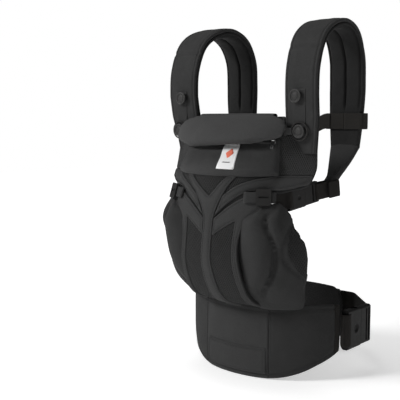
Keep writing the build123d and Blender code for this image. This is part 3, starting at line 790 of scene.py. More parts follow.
BAR_REACH = 4.9             # how far the webbing's loop goes past the start of a buckle's bar


def buckle_loop(name, origin, along, across, half, length, stop, width, **where):
    """Webbing round a buckle's bar. The loop stands off the bar by half on each side, and beyond
    stop its two layers are sewn together and run on to length."""
    origin, along, across = (np.array(v, float) for v in (origin, along, across))
    out = np.cross(along, across)
    corners = [(-length, -1), (stop, -1), (stop + 5, -half), (BAR_REACH, -half), (BAR_REACH, half),
               (stop + 5, half), (stop, 1), (-length, 1)]
    path = rounded([origin + along * u + out * v for u, v in corners], [2, 2, 1.6, 1.6, 2, 2])
    return ribbon(name, path, across, width, WEBBING, "webbing", step=1.2, **where)


buckle_loop("waist_webbing_end", (145.5, -32, WAIST_LEVEL), (0, 1, 0), (0, 0, 1), half=7.3, length=9.6,
            stop=-6, width=WAIST_WIDTH, stands_for=["waist_webbing_short"])

LUMBAR_HALF = 74
LUMBAR_LOW = 14
LUMBAR_HIGH = 111
LUMBAR_CORNER = 26
LUMBAR_CHANNELS = (22, 54)
KEEPER_X = 38
KEEPER_DEEP = 2.0           # half the keepers' loops, in depth and in height
KEEPER_TALL = WAIST_WIDTH / 2 + 1.1


def rounded_box(x_low, x_high, z_low, z_high, radius):
    points = []
    for cx, cz, start in (
        (x_high - radius, z_high - radius, 0),
        (x_low + radius, z_high - radius, 90),
        (x_low + radius, z_low + radius, 180),
        (x_high - radius, z_low + radius, 270),
    ):
        for turn in np.linspace(start, start + 90, 9):
            points.append((cx + radius * cos(radians(turn)), cz + radius * sin(radians(turn))))
    return np.array(points)


def quilted(flat, distance):
    """Sewn channels of the lumbar pad, and its crown between them."""
    x = np.abs(flat[:, 0])
    channel = np.minimum(np.abs(x - LUMBAR_CHANNELS[0]), np.abs(x - LUMBAR_CHANNELS[1]))
    return 1.4 * np.clip(distance / 16, 0, 1) - 2.0 * dip(channel, 1.6) - 1.6 * dip(distance - 9, 1.4)


lumbar_outline = rounded_box(
    -LUMBAR_HALF + 1, LUMBAR_HALF - 1, LUMBAR_LOW + 1, LUMBAR_HIGH - 1, LUMBAR_CORNER
)
lumbar = patch("lumbar_cushion", lumbar_outline, -9.6, -2.2, MESH, "mesh_fabric", place=on_lumbar,
               roll=6, seam=0.0, wrinkle=0.5, step=3.0,
               shape=quilted, body="lumbar", stands_for=["lumbar_pad"])
for index, x in enumerate((-KEEPER_X, KEEPER_X)):
    inner, outer = LUMBAR_Y - KEEPER_DEEP, LUMBAR_Y + KEEPER_DEEP
    low, high = WAIST_LEVEL - KEEPER_TALL, WAIST_LEVEL + KEEPER_TALL
    corners = [(x, inner, WAIST_LEVEL), (x, inner, high), (x, outer, high), (x, outer, low), (x, inner, low),
               (x, inner, WAIST_LEVEL - 0.5)]
    ribbon(f"lumbar_keeper_{index + 1}", rounded(corners, [1, 1, 1, 1]), (1, 0, 0), 22, ELASTIC, "elastic",
           thick=1.1, step=1.5, body="lumbar", stands_for=["lumbar_loops"] if index == 0 else ())


# ---- seat and back panel --------------------------------------------------------------------------
def mirrored(points):
    return np.array(points)[::-1] * (-1, 1)


def both_sides(points):
    points = np.array(points, float)
    return np.vstack([points, mirrored(points)])


PANEL_FOOT = 109.5          # the panel's lower edge is sewn into the belt's upper edge
FABRIC_BACK = -2.4          # heights of the layers' backs over the panel's face
PADDING_BACK = -5.0
LINING_BACK = -7.4
PANEL_EDGE = [(58, PANEL_FOOT), (57, 140), (55, 180), (54, 225), (60, 246), (72, 260), (84, 272), (89, 291)]
PANEL_WING = [(89, 290), (98, 292), (112, 296.5), (128, 302), (135, 320), (134, 345), (130, 373)]
PANEL_CROWN = [(130, 373), (86, 373), (80, 401)]
PANEL_OUTLINE = both_sides(
    np.vstack([spline(PANEL_EDGE, 40), spline(PANEL_WING, 20)[1:], PANEL_CROWN[1:]])
)
STEM = [(15, PANEL_FOOT), (11, 135), (10, 170), (9, 200), (9, 226)]
ARM_LOW = [(9, 226), (10, 254), (24, 285), (47, POCKET_BOTTOM)]
ARM_INNER = [(34, POCKET_BOTTOM), (14, 297), (0, 284)]
SWEEP_TOP = [(24, 285), (46, 301), (74, 312), (94, POCKET_BOTTOM)]
SWEEP_LOW = [(130, 304), (112, 298), (98, 295), (84, 295), (60, 291.5), (32, 274), (10, 254)]
LOWER_SEAM = [(9, 226), (30, 240), (46, 250)]
TRIM_INNER = [(47, PANEL_FOOT), (47, 140), (45, 180), (44, 225), (46, 250)]
ARM_TOP = [(10, 251.5), (33, 269.6), (60, 285.4), (88, 290)]
ARM_EDGE = [(88, 290), (84, 272), (72, 260), (60, 246), (54, 225), (55, 180), (57, 140), (58, PANEL_FOOT)]

patch("panel_inside", PANEL_OUTLINE, LINING_BACK, PADDING_BACK, SOFT_SHADED, "soft_fabric", roll=1.5,
      wrinkle=0.6, step=6, stands_for=["panel_lining", "stowed_hood"])
patch("panel_padding_layer", PANEL_OUTLINE, PADDING_BACK, FABRIC_BACK, SOFT_SHADED, "soft_fabric", roll=1.5,
      wrinkle=0.5, step=6, stands_for=["panel_padding"])

mesh_outline = np.vstack([spline(STEM, 24), spline(LOWER_SEAM, 10)[1:], spline(TRIM_INNER, 24)[::-1][1:]])
for side, sign in SIDES.items():
    patch(f"seat_mesh_panel_{side}", mesh_outline * (sign, 1), FABRIC_BACK, -1.2, MESH, "mesh_fabric",
          roll=1.2, seam=0.0, wrinkle=0.9, stands_for=[f"seat_mesh_{side}"])

stem_outline = np.vstack([spline(STEM, 24), spline(ARM_LOW, 20)[1:], spline(ARM_INNER, 14)])
whole_stem = both_sides(np.vstack([[(0, PANEL_FOOT)], stem_outline]))
patch("stem_fabric", whole_stem, FABRIC_BACK, 1.0, TWILL, "twill_fabric", roll=2.2, seam=0.5, wrinkle=0.35,
      stands_for=["centre_stem"])


def slider_dent(flat, distance):
    """The band lies flat behind the path of the seat-width slider."""
    return -2.8 * dip(np.abs(flat[:, 0]) - 70, 24) * dip(flat[:, 1] - 290, 13)


sweep_outline = np.vstack([spline(SWEEP_TOP, 20), [(PANEL_EDGE_X - 1, POCKET_BOTTOM)], spline(SWEEP_LOW, 24)])
arm_outline = np.vstack([
    spline(ARM_TOP, 20),
    spline(ARM_EDGE, 40)[1:],
    spline(TRIM_INNER, 24)[1:],
    spline(LOWER_SEAM, 10)[::-1][1:],
])
for side, sign in SIDES.items():
    patch(f"sweep_band_{side}", sweep_outline * (sign, 1), FABRIC_BACK, 1.6, TWILL, "twill_fabric",
          roll=2.4, seam=0.5,
          wrinkle=0.4, shape=slider_dent, stands_for=["sweep_trims"] if sign == 1 else ())
    patch(f"arm_band_{side}", arm_outline * (sign, 1), FABRIC_BACK, 0.8, TWILL, "twill_fabric",
          roll=2.2, seam=0.5,
          wrinkle=0.4, stands_for=["side_trims"] if sign == 1 else ())

patch("upper_mesh_centre", both_sides(ARM_INNER[::-1]), FABRIC_BACK, -1.4, MESH, "mesh_fabric", roll=1.0,
       seam=0, wrinkle=0.5, stands_for=["upper_mesh"])
side_mesh = np.vstack([[(47, POCKET_BOTTOM)], spline(SWEEP_TOP, 20)[::-1]])
for side, sign in SIDES.items():
    patch(f"upper_mesh_{side}", side_mesh * (sign, 1), FABRIC_BACK, -1.4, MESH, "mesh_fabric", roll=1.0,
          seam=0, wrinkle=0.4)
upper_side = np.array([(72, POCKET_TOP), (78, POCKET_BOTTOM), (PANEL_EDGE_X - 1, POCKET_BOTTOM),
                       (134, 345), (130, 373), (86, 373), (80, 401), (0, 401), (0, POCKET_TOP)])
for side, sign in SIDES.items():
    patch(f"upper_side_{side}", upper_side * (sign, 1), FABRIC_BACK, 0.0, MESH_LIGHT, "mesh_fabric", roll=1.5,
          seam=0, wrinkle=0.5, stands_for=["upper_side_mesh"] if sign == 1 else ())


def pocket_fall(flat, distance):
    """The pocket bulges over its lower edge and folds a little."""
    low = np.clip((POCKET_TOP - flat[:, 1]) / (POCKET_TOP - POCKET_BOTTOM), 0, 1)
    folds = ripple(np.c_[flat[:, :1] / 2.4, flat[:, 1:] / 1.4, 0 * flat[:, :1]], 9, 3.0)
    return np.clip(distance / 5, 0, 1) * (4.2 * low**1.5 + 1.3 * folds)


pocket_outline = np.array([(PANEL_SIDE_X, POCKET_BOTTOM - 1.5), (90, 341), (86, POCKET_TOP),
                           (-76, POCKET_TOP), (-80, 341), (-84, POCKET_BOTTOM - 1.5)])
patch("hood_pocket_fabric", pocket_outline, FABRIC_BACK, 3.4, TWILL, "twill_fabric", roll=3.2, seam=0.5,
      wrinkle=0.3, step=3.2, shape=pocket_fall, stands_for=["hood_pocket"])
ZIP_Z = 363
ZIP_X = 82
ZIP_HALF = 3.5
patch("zipper_tape_band", box_outline(-ZIP_X, ZIP_X, ZIP_Z - ZIP_HALF, ZIP_Z + ZIP_HALF), 2.2, 4.4, TAPE,
      "zipper_tape", roll=1.0, seam=0.3, wrinkle=0, stands_for=["zipper_tape"])
LABEL_OUTLINE = np.array([(16, 321.5), (41.5, 321.5), (31.5, 357.5), (5.5, 357.5)])


def label_shape(flat, distance):
    """The label lies on the pocket's fall, as far from its edge as the pocket's middle."""
    return pocket_fall(flat, 0 * distance + 20)


patch("side_label", LABEL_OUTLINE, 3.2, 4.6, LABEL, "label_fabric", roll=0.8, seam=0.25, wrinkle=0.0, step=3,
      shape=label_shape, stands_for=["sewn_label"])

motif_centre = LABEL_OUTLINE.mean(axis=0) + (0.6, 3.0)     # a plain diamond over a short bar
diamond = motif_centre + np.array([(-6.5, 0), (0, -7.5), (6.5, 0), (0, 7.5)])
patch("label_motif", diamond, 4.5, 4.9, MOTIF, "label_fabric", roll=0.4, seam=0.0, wrinkle=0.0, step=3,
      shape=label_shape)
bar = motif_centre + np.array([(-4, -13.5), (9, -13.5), (8.7, -12.2), (-4.3, -12.2)])
patch("label_line", bar, 4.5, 4.85, LABEL_PRINT, "label_fabric", roll=0.4, seam=0.0, wrinkle=0.0, step=3,
      shape=label_shape)

panel_rows = []
for outline, height, shape in (
    (whole_stem, 0.7, None),
    (sweep_outline, 1.3, slider_dent),
    (mirrored(sweep_outline), 1.3, slider_dent),
    (arm_outline, 0.5, None),
    (mirrored(arm_outline), 0.5, None),
    (pocket_outline, 3.2, None),
):
    loop = evenly(np.vstack([outline, outline[:1]]), 2.0)[:-1]
    moved, keep = inset(loop, SEAM_IN)
    groups = np.split(np.arange(len(moved)), np.where(np.diff(keep.astype(int)) != 0)[0] + 1)
    for group in groups:
        if keep[group[0]] and len(group) > 4:
            panel_rows.append(row_on(on_panel, moved[group], height, shape))
stitches("panel_stitching", panel_rows, THREAD, "twill_fabric")


# ---- padded pieces --------------------------------------------------------------------------------
def arc(start, middle, end, count):
    """Points on the circle through three points seen from above."""
    start, middle, end = (np.array(p, float) for p in (start, middle, end))
    ax, ay = start - end
    bx, by = middle - end
    cross = 2 * (ax * by - ay * bx)
    if abs(cross) < 1e-6:
        return start + (end - start) * np.linspace(0, 1, count)[:, None]
    a2, b2 = ax * ax + ay * ay, bx * bx + by * by
    centre = end + np.array([(by * a2 - ay * b2) / cross, (ax * b2 - bx * a2) / cross])
    radius = np.linalg.norm(start - centre)
    angles = [np.arctan2(*(p - centre)[::-1]) for p in (start, middle, end)]
    sweep = (angles[2] - angles[0]) % (2 * pi)
    if (angles[1] - angles[0]) % (2 * pi) > sweep:
        sweep -= 2 * pi
    turn = angles[0] + sweep * np.linspace(0, 1, count)
    return centre + radius * np.stack([np.cos(turn), np.sin(turn)], axis=1)


def section(count, blunt=0.5):
    """Rounded section, once round: how far across (0 to 1), and how far out of its middle (-1 to 1)."""
    across = (1 - np.cos(np.linspace(0, pi, count))) / 2
    across = 0.5 * across + 0.5 * np.linspace(0, 1, count)
    rise = np.clip(1 - np.abs(2 * across - 1) ** 2.4, 0, 1) ** blunt
    return np.r_[across, across[::-1][1:-1]], np.r_[rise, -rise[::-1][1:-1]]


FRONT_TUCK = 20.0           # how far the pad's front edge is tucked under the panel's band
LOW_TUCK = 8.0              # and how much further near its lower end
LOW_TUCK_Z = 148
LEG_COUNT = 44              # points across a leg pad's section
FRONT_LOBE = 0.75           # bulge of the lobes, as shares of half the pad's thickness
REAR_LOBE = 0.40
REAR_LOBE_WIDTH = 0.36


def leg_ring(z, shrink):
    """Section of the leg pad at a height: a front lobe, a deep upright crease and a rear lobe."""
    values = leg_level(z)
    front, middle, rear, thick = values[0:2], values[2:4], values[4:6], float(values[6])
    tuck = (0.75 + 0.25 * np.clip((z - 116) / 20, 0, 1)) * np.clip((276 - z) / 22, 0, 1)
    front = front + np.array([-FRONT_TUCK - LOW_TUCK * dip(z - LOW_TUCK_Z, 22), 1.0]) * tuck
    along = unit(rear - front)
    inward = np.array([-along[1], along[0]])
    across, rise = section(LEG_COUNT)
    half = thick / 2 - shrink
    base = arc(front + along * shrink, middle + inward * thick / 2, rear - along * shrink, LEG_COUNT)
    place = np.linspace(0, 1, LEG_COUNT)
    base = np.stack([np.interp(across, place, base[:, k]) for k in range(2)], axis=1)
    tall = np.clip((z - 124) / 22, 0, 1) * np.clip((274 - z) / 14, 0, 1)
    outer = rise > 0
    crease_at = float(crease_place(z)[0])
    depth = 1.8 * half * tall * dip(across - crease_at, 0.028)
    at_rear = rear_seam(z)
    depth = depth + 0.9 * half * tall * min(1, (1 - at_rear) / 0.16) * dip(across - at_rear, 0.022)
    depth = depth - FRONT_LOBE * half * tall * np.sin(pi * np.clip(across / crease_at, 0, 1)) ** 1.5
    behind = np.clip((across - crease_at) / REAR_LOBE_WIDTH, 0, 1)
    depth = depth - REAR_LOBE * half * tall * np.sin(pi * behind) ** 2
    height = rise * half - np.where(outer, depth, 0)
    ring = base - inward * height[:, None]
    return np.c_[ring, np.full(len(ring), z)]


crease_place = smooth([(118, 0.20), (135, 0.30), (165, 0.43), (200, 0.51), (235, 0.52), (262, 0.48)])


def rear_seam(z):
    """The curved seam of the rear lobe: a crescent at the pad's rear edge."""
    return 1.0 - 0.40 * np.sin(pi * np.clip((z - 156) / 98, 0, 1))


leg_level = smooth([(z, *a, *b, *c, t) for z, a, b, c, t in LEG_LEVELS])
head_level = smooth(HEAD_LEVELS)


def head_ring(z, shrink, count=56):
    """Section of the head support at a height."""
    half, ends, back, front = head_level(z)
    across, rise = section(count, 0.62)
    x = (2 * across - 1) * (half - shrink)
    bend = 1 - (2 * across - 1) ** 2
    middle = ends + ((front + back) / 2 - ends) * bend
    y = middle - rise * ((back - front) / 2 - shrink)
    pinch = dip(1 - np.abs(2 * across - 1), 0.16)
    y = y + np.where(rise > 0, 1.5 * pinch * np.sin(z * 1.15 + across * 40), 0)
    lean = 3.5 * np.clip((380 - z) / 20, 0, 1) * x / half
    return np.stack([x, y, z + lean], axis=1)


leg_pads = {}
for side, sign in SIDES.items():
    rings = [leg_ring(z, 1.2) * (sign, 1, 1) for z in np.linspace(110.8, 279, 72)]
    leg_pads[side] = tube(f"leg_pad_{side}", rings, TWILL_SHADED, "twill_fabric",
                          stands_for=[f"leg_pad_cover_{side}", f"leg_pad_foam_{side}"])
head_rings = [head_ring(z, 1.4) for z in np.linspace(356, 401, 26)]
pillow = tube("head_cushion", head_rings, SOFT, "soft_fabric", body="head_support",
              stands_for=["head_support_cover", "head_support_foam"])


def to_points(piece):
    flat = np.zeros(len(piece.data.vertices) * 3)
    piece.data.vertices.foreach_get("co", flat)
    return flat.reshape(-1, 3)


def set_points(piece, points):
    piece.data.vertices.foreach_set("co", points.ravel())
    piece.data.update()


def swell(pieces, voxel=2.9, frames=20):
    """Blows padded pieces up with Cloth so that they pucker. Each piece comes with its pressure and
    the furthest that a point may move, in millimetres."""
    for piece, pressure, cap in pieces:
        remesh = piece.modifiers.new("remesh", "REMESH")
        remesh.mode = "VOXEL"
        remesh.voxel_size = voxel * MM
        remesh.use_smooth_shade = True
        shape = bpy.data.meshes.new_from_object(piece.evaluated_get(bpy.context.evaluated_depsgraph_get()))
        piece.modifiers.clear()
        shape.name = piece.data.name + "_swollen"
        piece.data = shape
        sheet = piece.modifiers.new("cloth", "CLOTH")
        sheet.settings.quality = 6
        sheet.settings.mass = 0.3
        sheet.settings.tension_stiffness = 12
        sheet.settings.compression_stiffness = 12
        sheet.settings.shear_stiffness = 5
        sheet.settings.bending_stiffness = 0.4
        sheet.settings.use_pressure = True
        sheet.settings.uniform_pressure_force = pressure
        sheet.settings.effector_weights.gravity = 0
        sheet.collision_settings.use_collision = False
        sheet.point_cache.frame_start = 1
        sheet.point_cache.frame_end = frames
    for number in range(1, frames + 1):
        bpy.context.scene.frame_set(number)
    graph = bpy.context.evaluated_depsgraph_get()
    for piece, pressure, cap in pieces:
        start = to_points(piece)
        moved = np.array([tuple(v.co) for v in piece.evaluated_get(graph).data.vertices])
        shift = moved - start
        length = np.linalg.norm(shift, axis=1, keepdims=True)
        start = start + shift * np.minimum(1, cap * MM / np.maximum(length, 1e-9))
        piece.modifiers.clear()
        set_points(piece, start)
    bpy.context.scene.frame_set(1)


def clear_zipper(piece):
    """Keeps the lower part of the swollen head cushion's back in front of the zipper."""
    points = to_points(piece) / MM
    half, ends, back, front = head_level(points[:, 2]).T
    bend = 1 - np.clip(np.abs(points[:, 0]) / half, 0, 1) ** 2
    limit = ends + ((front + back) / 2 - ends) * bend + (back - front) / 2 - 0.6
    points[:, 1] = np.minimum(points[:, 1], np.where(points[:, 2] < CLEAR_BELOW, limit, 0))
    set_points(piece, points * MM)


PRESSURE = 3.0
FURTHEST = 4.0              # millimetres that Cloth may move a point
CLEAR_BELOW = 376
swell([(piece, PRESSURE, FURTHEST) for piece in (leg_pads["right"], leg_pads["left"], pillow)])
clear_zipper(pillow)
hinge_route = [(0, -113.5, 393.5), (0, -109.5, 399), (0, -110.5, 403), (0, -115, 404.2), (0, -119, 402),
               (0, -121, 397)]
hinge_path = spline(hinge_route, 24)
hinge = ribbon("pillow_hinge_fabric", hinge_path, (1, 0, 0), 142, SOFT, "soft_fabric", thick=1.4, step=1.2,
               body=None)
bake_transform(hinge)
for piece in (*leg_pads.values(), pillow):
    piece.data.materials.clear()
    piece.data.materials.append(SOFT if piece == pillow else TWILL_SHADED)
    piece.data.shade_smooth()
    if piece != pillow:
        piece.data.materials.append(MESH)
        for face in piece.data.polygons:
            x, y, z = (c / MM for c in face.center)
            values = leg_level(z)
            front, rear = values[0:2], values[4:6]
            share = np.dot(np.array([abs(x), y]) - front, rear - front) / np.dot(rear - front, rear - front)
            face.material_index = int(share > rear_seam(z))
    finer = piece.modifiers.new("finer", "SUBSURF")
    finer.levels = finer.render_levels = 1

seam_rows = []
leg_across = section(LEG_COUNT)[0][:LEG_COUNT]
for side, sign in SIDES.items():
    for shift, low, high in ((None, 168, 242), (-0.07, 140, 258)):
        line, out = [], []
        for z in np.linspace(low, high, 60):
            ring = leg_ring(z, 0.0)
            at = rear_seam(z) - 0.02 if shift is None else float(crease_place(z)[0]) + shift
            index = int(np.abs(leg_across - at).argmin())
            values = leg_level(z)
            along = unit(values[4:6] - values[0:2])
            normal = np.array([along[1], -along[0], 0.0])
            line.append((ring[index] + normal * 0.6) * (sign, 1, 1))
            out.append(normal * (sign, 1, 1))
        seam_rows.append((np.array(line), np.array(out)))
stitches("leg_pad_stitching", seam_rows, THREAD, "twill_fabric")


# ---- shoulder straps ------------------------------------------------------------------------------
STRAP_STEPS = 190
strap_path = spline([(0, y, z) for y, z in STRAP_LINE], STRAP_STEPS)
strap_along = unit(np.gradient(strap_path, axis=0))
strap_out = np.stack([0 * strap_along[:, 0], -strap_along[:, 2], strap_along[:, 1]], axis=1)


def strap_edges(i, sign=1):
    """Inner and outer edge of the strap. It narrows at its tail and where it joins the panel."""
    y, z = strap_path[i][1:]
    narrow = np.clip((i / STRAP_STEPS - 0.80) / 0.2, 0, 1) ** 1.5
    in_front = y < -60
    join = np.clip((400 - z) / 50, 0, 1) * in_front
    lean = np.clip((432 - z) / 60, 0, 1) * in_front * (-9 if sign < 0 else 2)
    inner = 88 - 17 * (y + 130) / 190 + 4 * narrow + lean
    slim = 1.8 * np.clip((i / STRAP_STEPS - 0.58) / 0.08, 0, 1)
    outer = 141 - 5 * (y + 130) / 190 - slim - 9 * narrow - 7 * join + lean
    return inner, outer


def strap_rings(inner, outer, puff, sign, trim=0.0, count=56):
    """Strap sections between two offsets from its middle line; puff(share, across, rise) moves the
    surface, across running from 0 to 1 and rise being above 0 outside and below 0 inside."""
    across = np.linspace(0, 1, count)
    rise = np.sqrt(np.clip(1 - np.clip(1 - np.minimum(across, 1 - across) / 0.055, 0, 1) ** 2, 0, 1))
    across, rise = np.r_[across, across[::-1][1:-1]], np.r_[rise, -rise[::-1][1:-1]]
    rings = []
    for i in range(STRAP_STEPS):
        low, high = strap_edges(i, sign)
        x = low + trim + across * (high - low - 2 * trim)
        offset = (inner + outer) / 2 + rise * (outer - inner) / 2 + puff(i / (STRAP_STEPS - 1), across, rise)
        ring = strap_path[i] + strap_out[i] * offset[:, None]
        ring[:, 0] = x
        rings.append(ring * (sign, 1, 1))
    return np.array(rings)


PADS = (0.43, 0.88)         # the lengthwise pads, as shares of the strap's length
YOKE_SEAM = 0.335           # seam across the front, as a share of the strap's length


def cover_puff(share, across, deep):
    edge = np.minimum(across, 1 - across)
    wrinkles = 0.5 * ripple(np.stack([across * 5, 0 * across + share * 42, 0 * across], axis=1), 1.0, 5.0)
    crown = 0.9 * np.clip(edge / 0.3, 0, 1) - 1.0 * dip(edge - 0.09, 0.025)
    crown = crown - 1.6 * dip(share - YOKE_SEAM, 0.006) - 1.2 * dip(share - PADS[1] - 0.01, 0.006)
    return np.where(deep > 0.3, crown + wrinkles * np.clip(edge / 0.1, 0, 1), 0)


def pads_puff(share, across, deep):
    ramp = np.clip((share - PADS[0]) / 0.012, 0, 1) * np.clip((PADS[1] - share) / 0.03, 0, 1)
    edge = np.minimum(across, 1 - across)
    hump = np.abs(np.sin(2 * pi * np.clip((across - 0.09) / 0.82, 0, 1))) ** 0.4
    valley = 1.7 * dip(across - 0.5, 0.03) + dip(edge - 0.07, 0.03)
    wrinkles = 0.8 * ripple(np.stack([across * 4, 0 * across + share * 30, 0 * across], axis=1), 1.0, 9.0)
    puffed = 3.8 - 1.9 * np.clip((share - 0.66) / 0.04, 0, 1)
    swell = ramp * (2.6 * valley - puffed * hump) + 2.4 * dip(share - PADS[0], 0.006)
    return np.where(deep < -0.3, swell - wrinkles * np.clip(edge / 0.1, 0, 1), 0)


for side, sign in SIDES.items():
    cover = strap_rings(0.2, 6.0, cover_puff, sign)
    tube(f"shoulder_strap_{side}", cover, TWILL_SHADED, "twill_fabric",
         stands_for=[f"strap_cover_{side}"])
    pads = strap_rings(-5.6, 0.0, pads_puff, sign, trim=0.8)
    pads = tube(f"shoulder_pads_{side}", pads, SOFT_SHADED, "soft_fabric",
                stands_for=[f"strap_foam_{side}", f"strap_lining_{side}"])

strap_rows = []
for side, sign in SIDES.items():
    for edge in (0.09, 0.91):
        line = []
        for i in range(2, STRAP_STEPS - 2):
            low, high = strap_edges(i, sign)
            point = strap_path[i] + strap_out[i] * 6.0
            point[0] = low + edge * (high - low)
            line.append(point * (sign, 1, 1))
        strap_rows.append((np.array(line), strap_out[2:STRAP_STEPS - 2]))
    for share, shift in ((YOKE_SEAM, -1), (PADS[0], -2), (PADS[1], 2)):
        i = int(share * STRAP_STEPS) + shift
        for offset, flip in ((-6.1, -1), (6.4, 1)):
            low, high = strap_edges(i, sign)
            xs = np.linspace(low + 5, high - 5, 20)
            line = np.array([strap_path[i] + strap_out[i] * offset] * 20)
            line[:, 0] = xs
            strap_rows.append((line * (sign, 1, 1), np.array([strap_out[i] * flip] * 20)))
stitches("strap_stitching", strap_rows, THREAD, "twill_fabric")

# ---- strap tails and side webbing -----------------------------------------------------------------
TAIL_X = 105.5
tail_level = smooth([
    (0.0, 31, 354.0, 51, 12.0, 0.0, 102.7),
    (0.45, 13, 329, 36, 12.5, 0.15, 103.4),
    (0.75, -7, 308, 19, 14.5, 0.55, 104.6),
    (1.0, -25.5, 292.2, 7, 25, 1.0, 105.47),
])


def tail_rings(count=48):
    """The gathered tail: a wide flat start that narrows to upright webbing, with pleats."""
    rings = []
    turn = np.linspace(0, 2 * pi, count, endpoint=False)
    for share in np.linspace(0, 1, 26):
        y, z, wide, deep, gather, middle = tail_level(share)
        slope = tail_level(min(share + 0.02, 1)) - tail_level(max(share - 0.02, 0))
        along = unit(np.array([0, slope[0], slope[1]]))
        out = np.array([0, -along[2], along[1]])
        pleat = 1 + 0.10 * gather * (1 - share * 0.6) * np.cos(9 * turn)
        x = np.sign(np.cos(turn)) * np.abs(np.cos(turn)) ** 0.6 * wide / 2 * pleat
        t = np.sign(np.sin(turn)) * np.abs(np.sin(turn)) ** 0.6 * deep / 2 * pleat
        ring = np.array([middle, y, z]) + np.outer(x, [1, 0, 0]) + np.outer(t, out)
        rings.append(ring)
    return np.array(rings)


SIDE_ORIGIN = np.array([95, -117, 279.0])
SIDE_ALONG = np.array([0.124078, 0.982617, 0.138087])
SIDE_UP = np.array([-0.0173, -0.1370, 0.9904])
SIDE_OUT = np.cross(SIDE_UP, SIDE_ALONG)
SIDE_END = 65.4
WRAP = 5.8
TURN = SIDE_END - 5.4
side_corners = [(SIDE_END + 22.5, 1), (SIDE_END + 5, WRAP), (TURN, WRAP), (TURN, -WRAP),
                (SIDE_END + 34, -WRAP - 6), (SIDE_END + 34, -WRAP - 13), (SIDE_END + 12, -WRAP - 9)]
for side, sign in SIDES.items():
    flip = np.array([sign, 1, 1])
    tail = tube(f"strap_tail_gathered_{side}", tail_rings() * flip, TWILL_SHADED, "twill_fabric", body=None,
                stands_for=[f"strap_tail_{side}"])
    path = [SIDE_ORIGIN + SIDE_ALONG * u + SIDE_OUT * v for u, v in side_corners]
    path = rounded(path, [5, 1.6, 1.6, 3.2, 3.2]) * flip
    webbing = ribbon(f"side_webbing_folded_{side}", path, SIDE_UP * flip, NARROW_WIDTH, WEBBING, "webbing",
                     step=1.5, body=None, stands_for=[f"side_webbing_{side}"])
    start = np.array([TAIL_X * sign, 31, 352]) * MM
    end = np.array([TAIL_X * sign, -22, 293]) * MM
    for piece in (tail, webbing):
        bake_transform(piece)
    anchor = [SIDE_ORIGIN * flip, SIDE_ALONG * flip, SIDE_UP * flip]
    buckle_loop(f"side_anchor_webbing_{side}", *anchor, half=5.8, length=27, stop=-5, width=NARROW_WIDTH,
                stands_for=[f"side_anchor_{side}"])

# ---- chest strap ----------------------------------------------------------------------------------
CHEST_Y = 23
CHEST_Z = 380
BAND_Z = 393                # the webbing sags from its bands to its buckle
BAND_FRONT = 31 - 9.4
BAND_BACK = 31 + 9.4
BAND_INNER_X = 71.8
BAND_OUTER_X = 137
CHEST_RUN = [(31, 23.5, CHEST_Z), (45, 23, 383.5), (58, 21.6, 388), (72, 20.3, BAND_Z), (81, 20.2, BAND_Z)]
for side, sign in SIDES.items():
    ring = [(105.5, BAND_FRONT), (BAND_OUTER_X, BAND_FRONT), (BAND_OUTER_X, BAND_BACK),
            (BAND_INNER_X, BAND_BACK), (BAND_INNER_X, BAND_FRONT), (105, BAND_FRONT)]
    ring = rounded(level_path(ring, BAND_Z), [4, 4, 4, 4]) * (sign, 1, 1)
    ribbon(f"chest_band_loop_{side}", ring, (0, 0, 1), NARROW_WIDTH, WEBBING, "webbing", thick=1.8, step=2.0,
           body="chest_strap", stands_for=[f"chest_band_{side}"])
    run_piece = ribbon(f"chest_webbing_{side}", spline(CHEST_RUN, 24) * (sign, 1, 1), (0, 0, 1), 24, WEBBING,
                       "webbing", thick=1.9, step=2.0, body=None if side == "right" else "chest_strap")
    if side == "right":
        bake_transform(run_piece)
    buckle_loop(f"chest_buckle_loop_{side}", (24.2 * sign, CHEST_Y, CHEST_Z), (-sign, 0, 0), (0, 0, 1),
                half=5.3, length=8, stop=-5, width=NARROW_WIDTH,
                body="chest_plug" if side == "right" else "chest_strap")

# ---- button strips, buttons and loops -------------------------------------------------------------
for side, sign in SIDES.items():
    centre = np.array([112.5 * sign, -115.9, 407.0])
    down = unit(np.array([0, 0.03, -1.0]))
    path = [centre - down * 33, centre + down * 33]
    ribbon(f"button_strip_{side}", path, (1, 0, 0), 22, TWILL_SHADED, "twill_fabric", thick=1.2, step=3,
           stands_for=["button_strips"] if sign == 1 else ())


def turned(name, centre, profile, paint, slot, **where):
    """Round piece about a line along -Y: profile holds (radius, distance in front of the centre)."""
    turn = np.linspace(0, 2 * pi, 40, endpoint=False)
    rings = []
    for radius, ahead in profile:
        x, z = centre[0] + radius * np.cos(turn), centre[2] + radius * np.sin(turn)
        rings.append(np.stack([x, 0 * turn + centre[1] - ahead, z], axis=1))
    return tube(name, rings, paint, slot, **where)


SNAP = [(4, 0.2), (4, 3.0), (9.2, 3.2), (9.9, 3.8), (9.9, 5.0), (9.3, 5.8), (8.2, 5.9), (7.4, 5.0),
        (6.8, 4.5), (5.2, 4.7), (4.4, 5.3), (3.4, 5.6), (1.6, 5.7), (0.4, 5.7)]
LOOP_RADIUS = 13.2          # elastic loop round the lower button
CORD_RADIUS = 1.2
CORD_COUNT = 10


def loop_rings(centre):
    """Rings of the elastic loop round a button."""
    turn = np.linspace(0, 2 * pi, CORD_COUNT, endpoint=False)
    rings = []
    for angle in np.linspace(0, 2 * pi, 60)[:-1]:
        out = np.array([cos(angle), 0, sin(angle)])
        ring = np.outer(np.cos(turn), out) * CORD_RADIUS + np.outer(np.sin(turn), [0, 1, 0]) * CORD_RADIUS
        rings.append(centre + out * LOOP_RADIUS + ring)
    return np.array(rings)


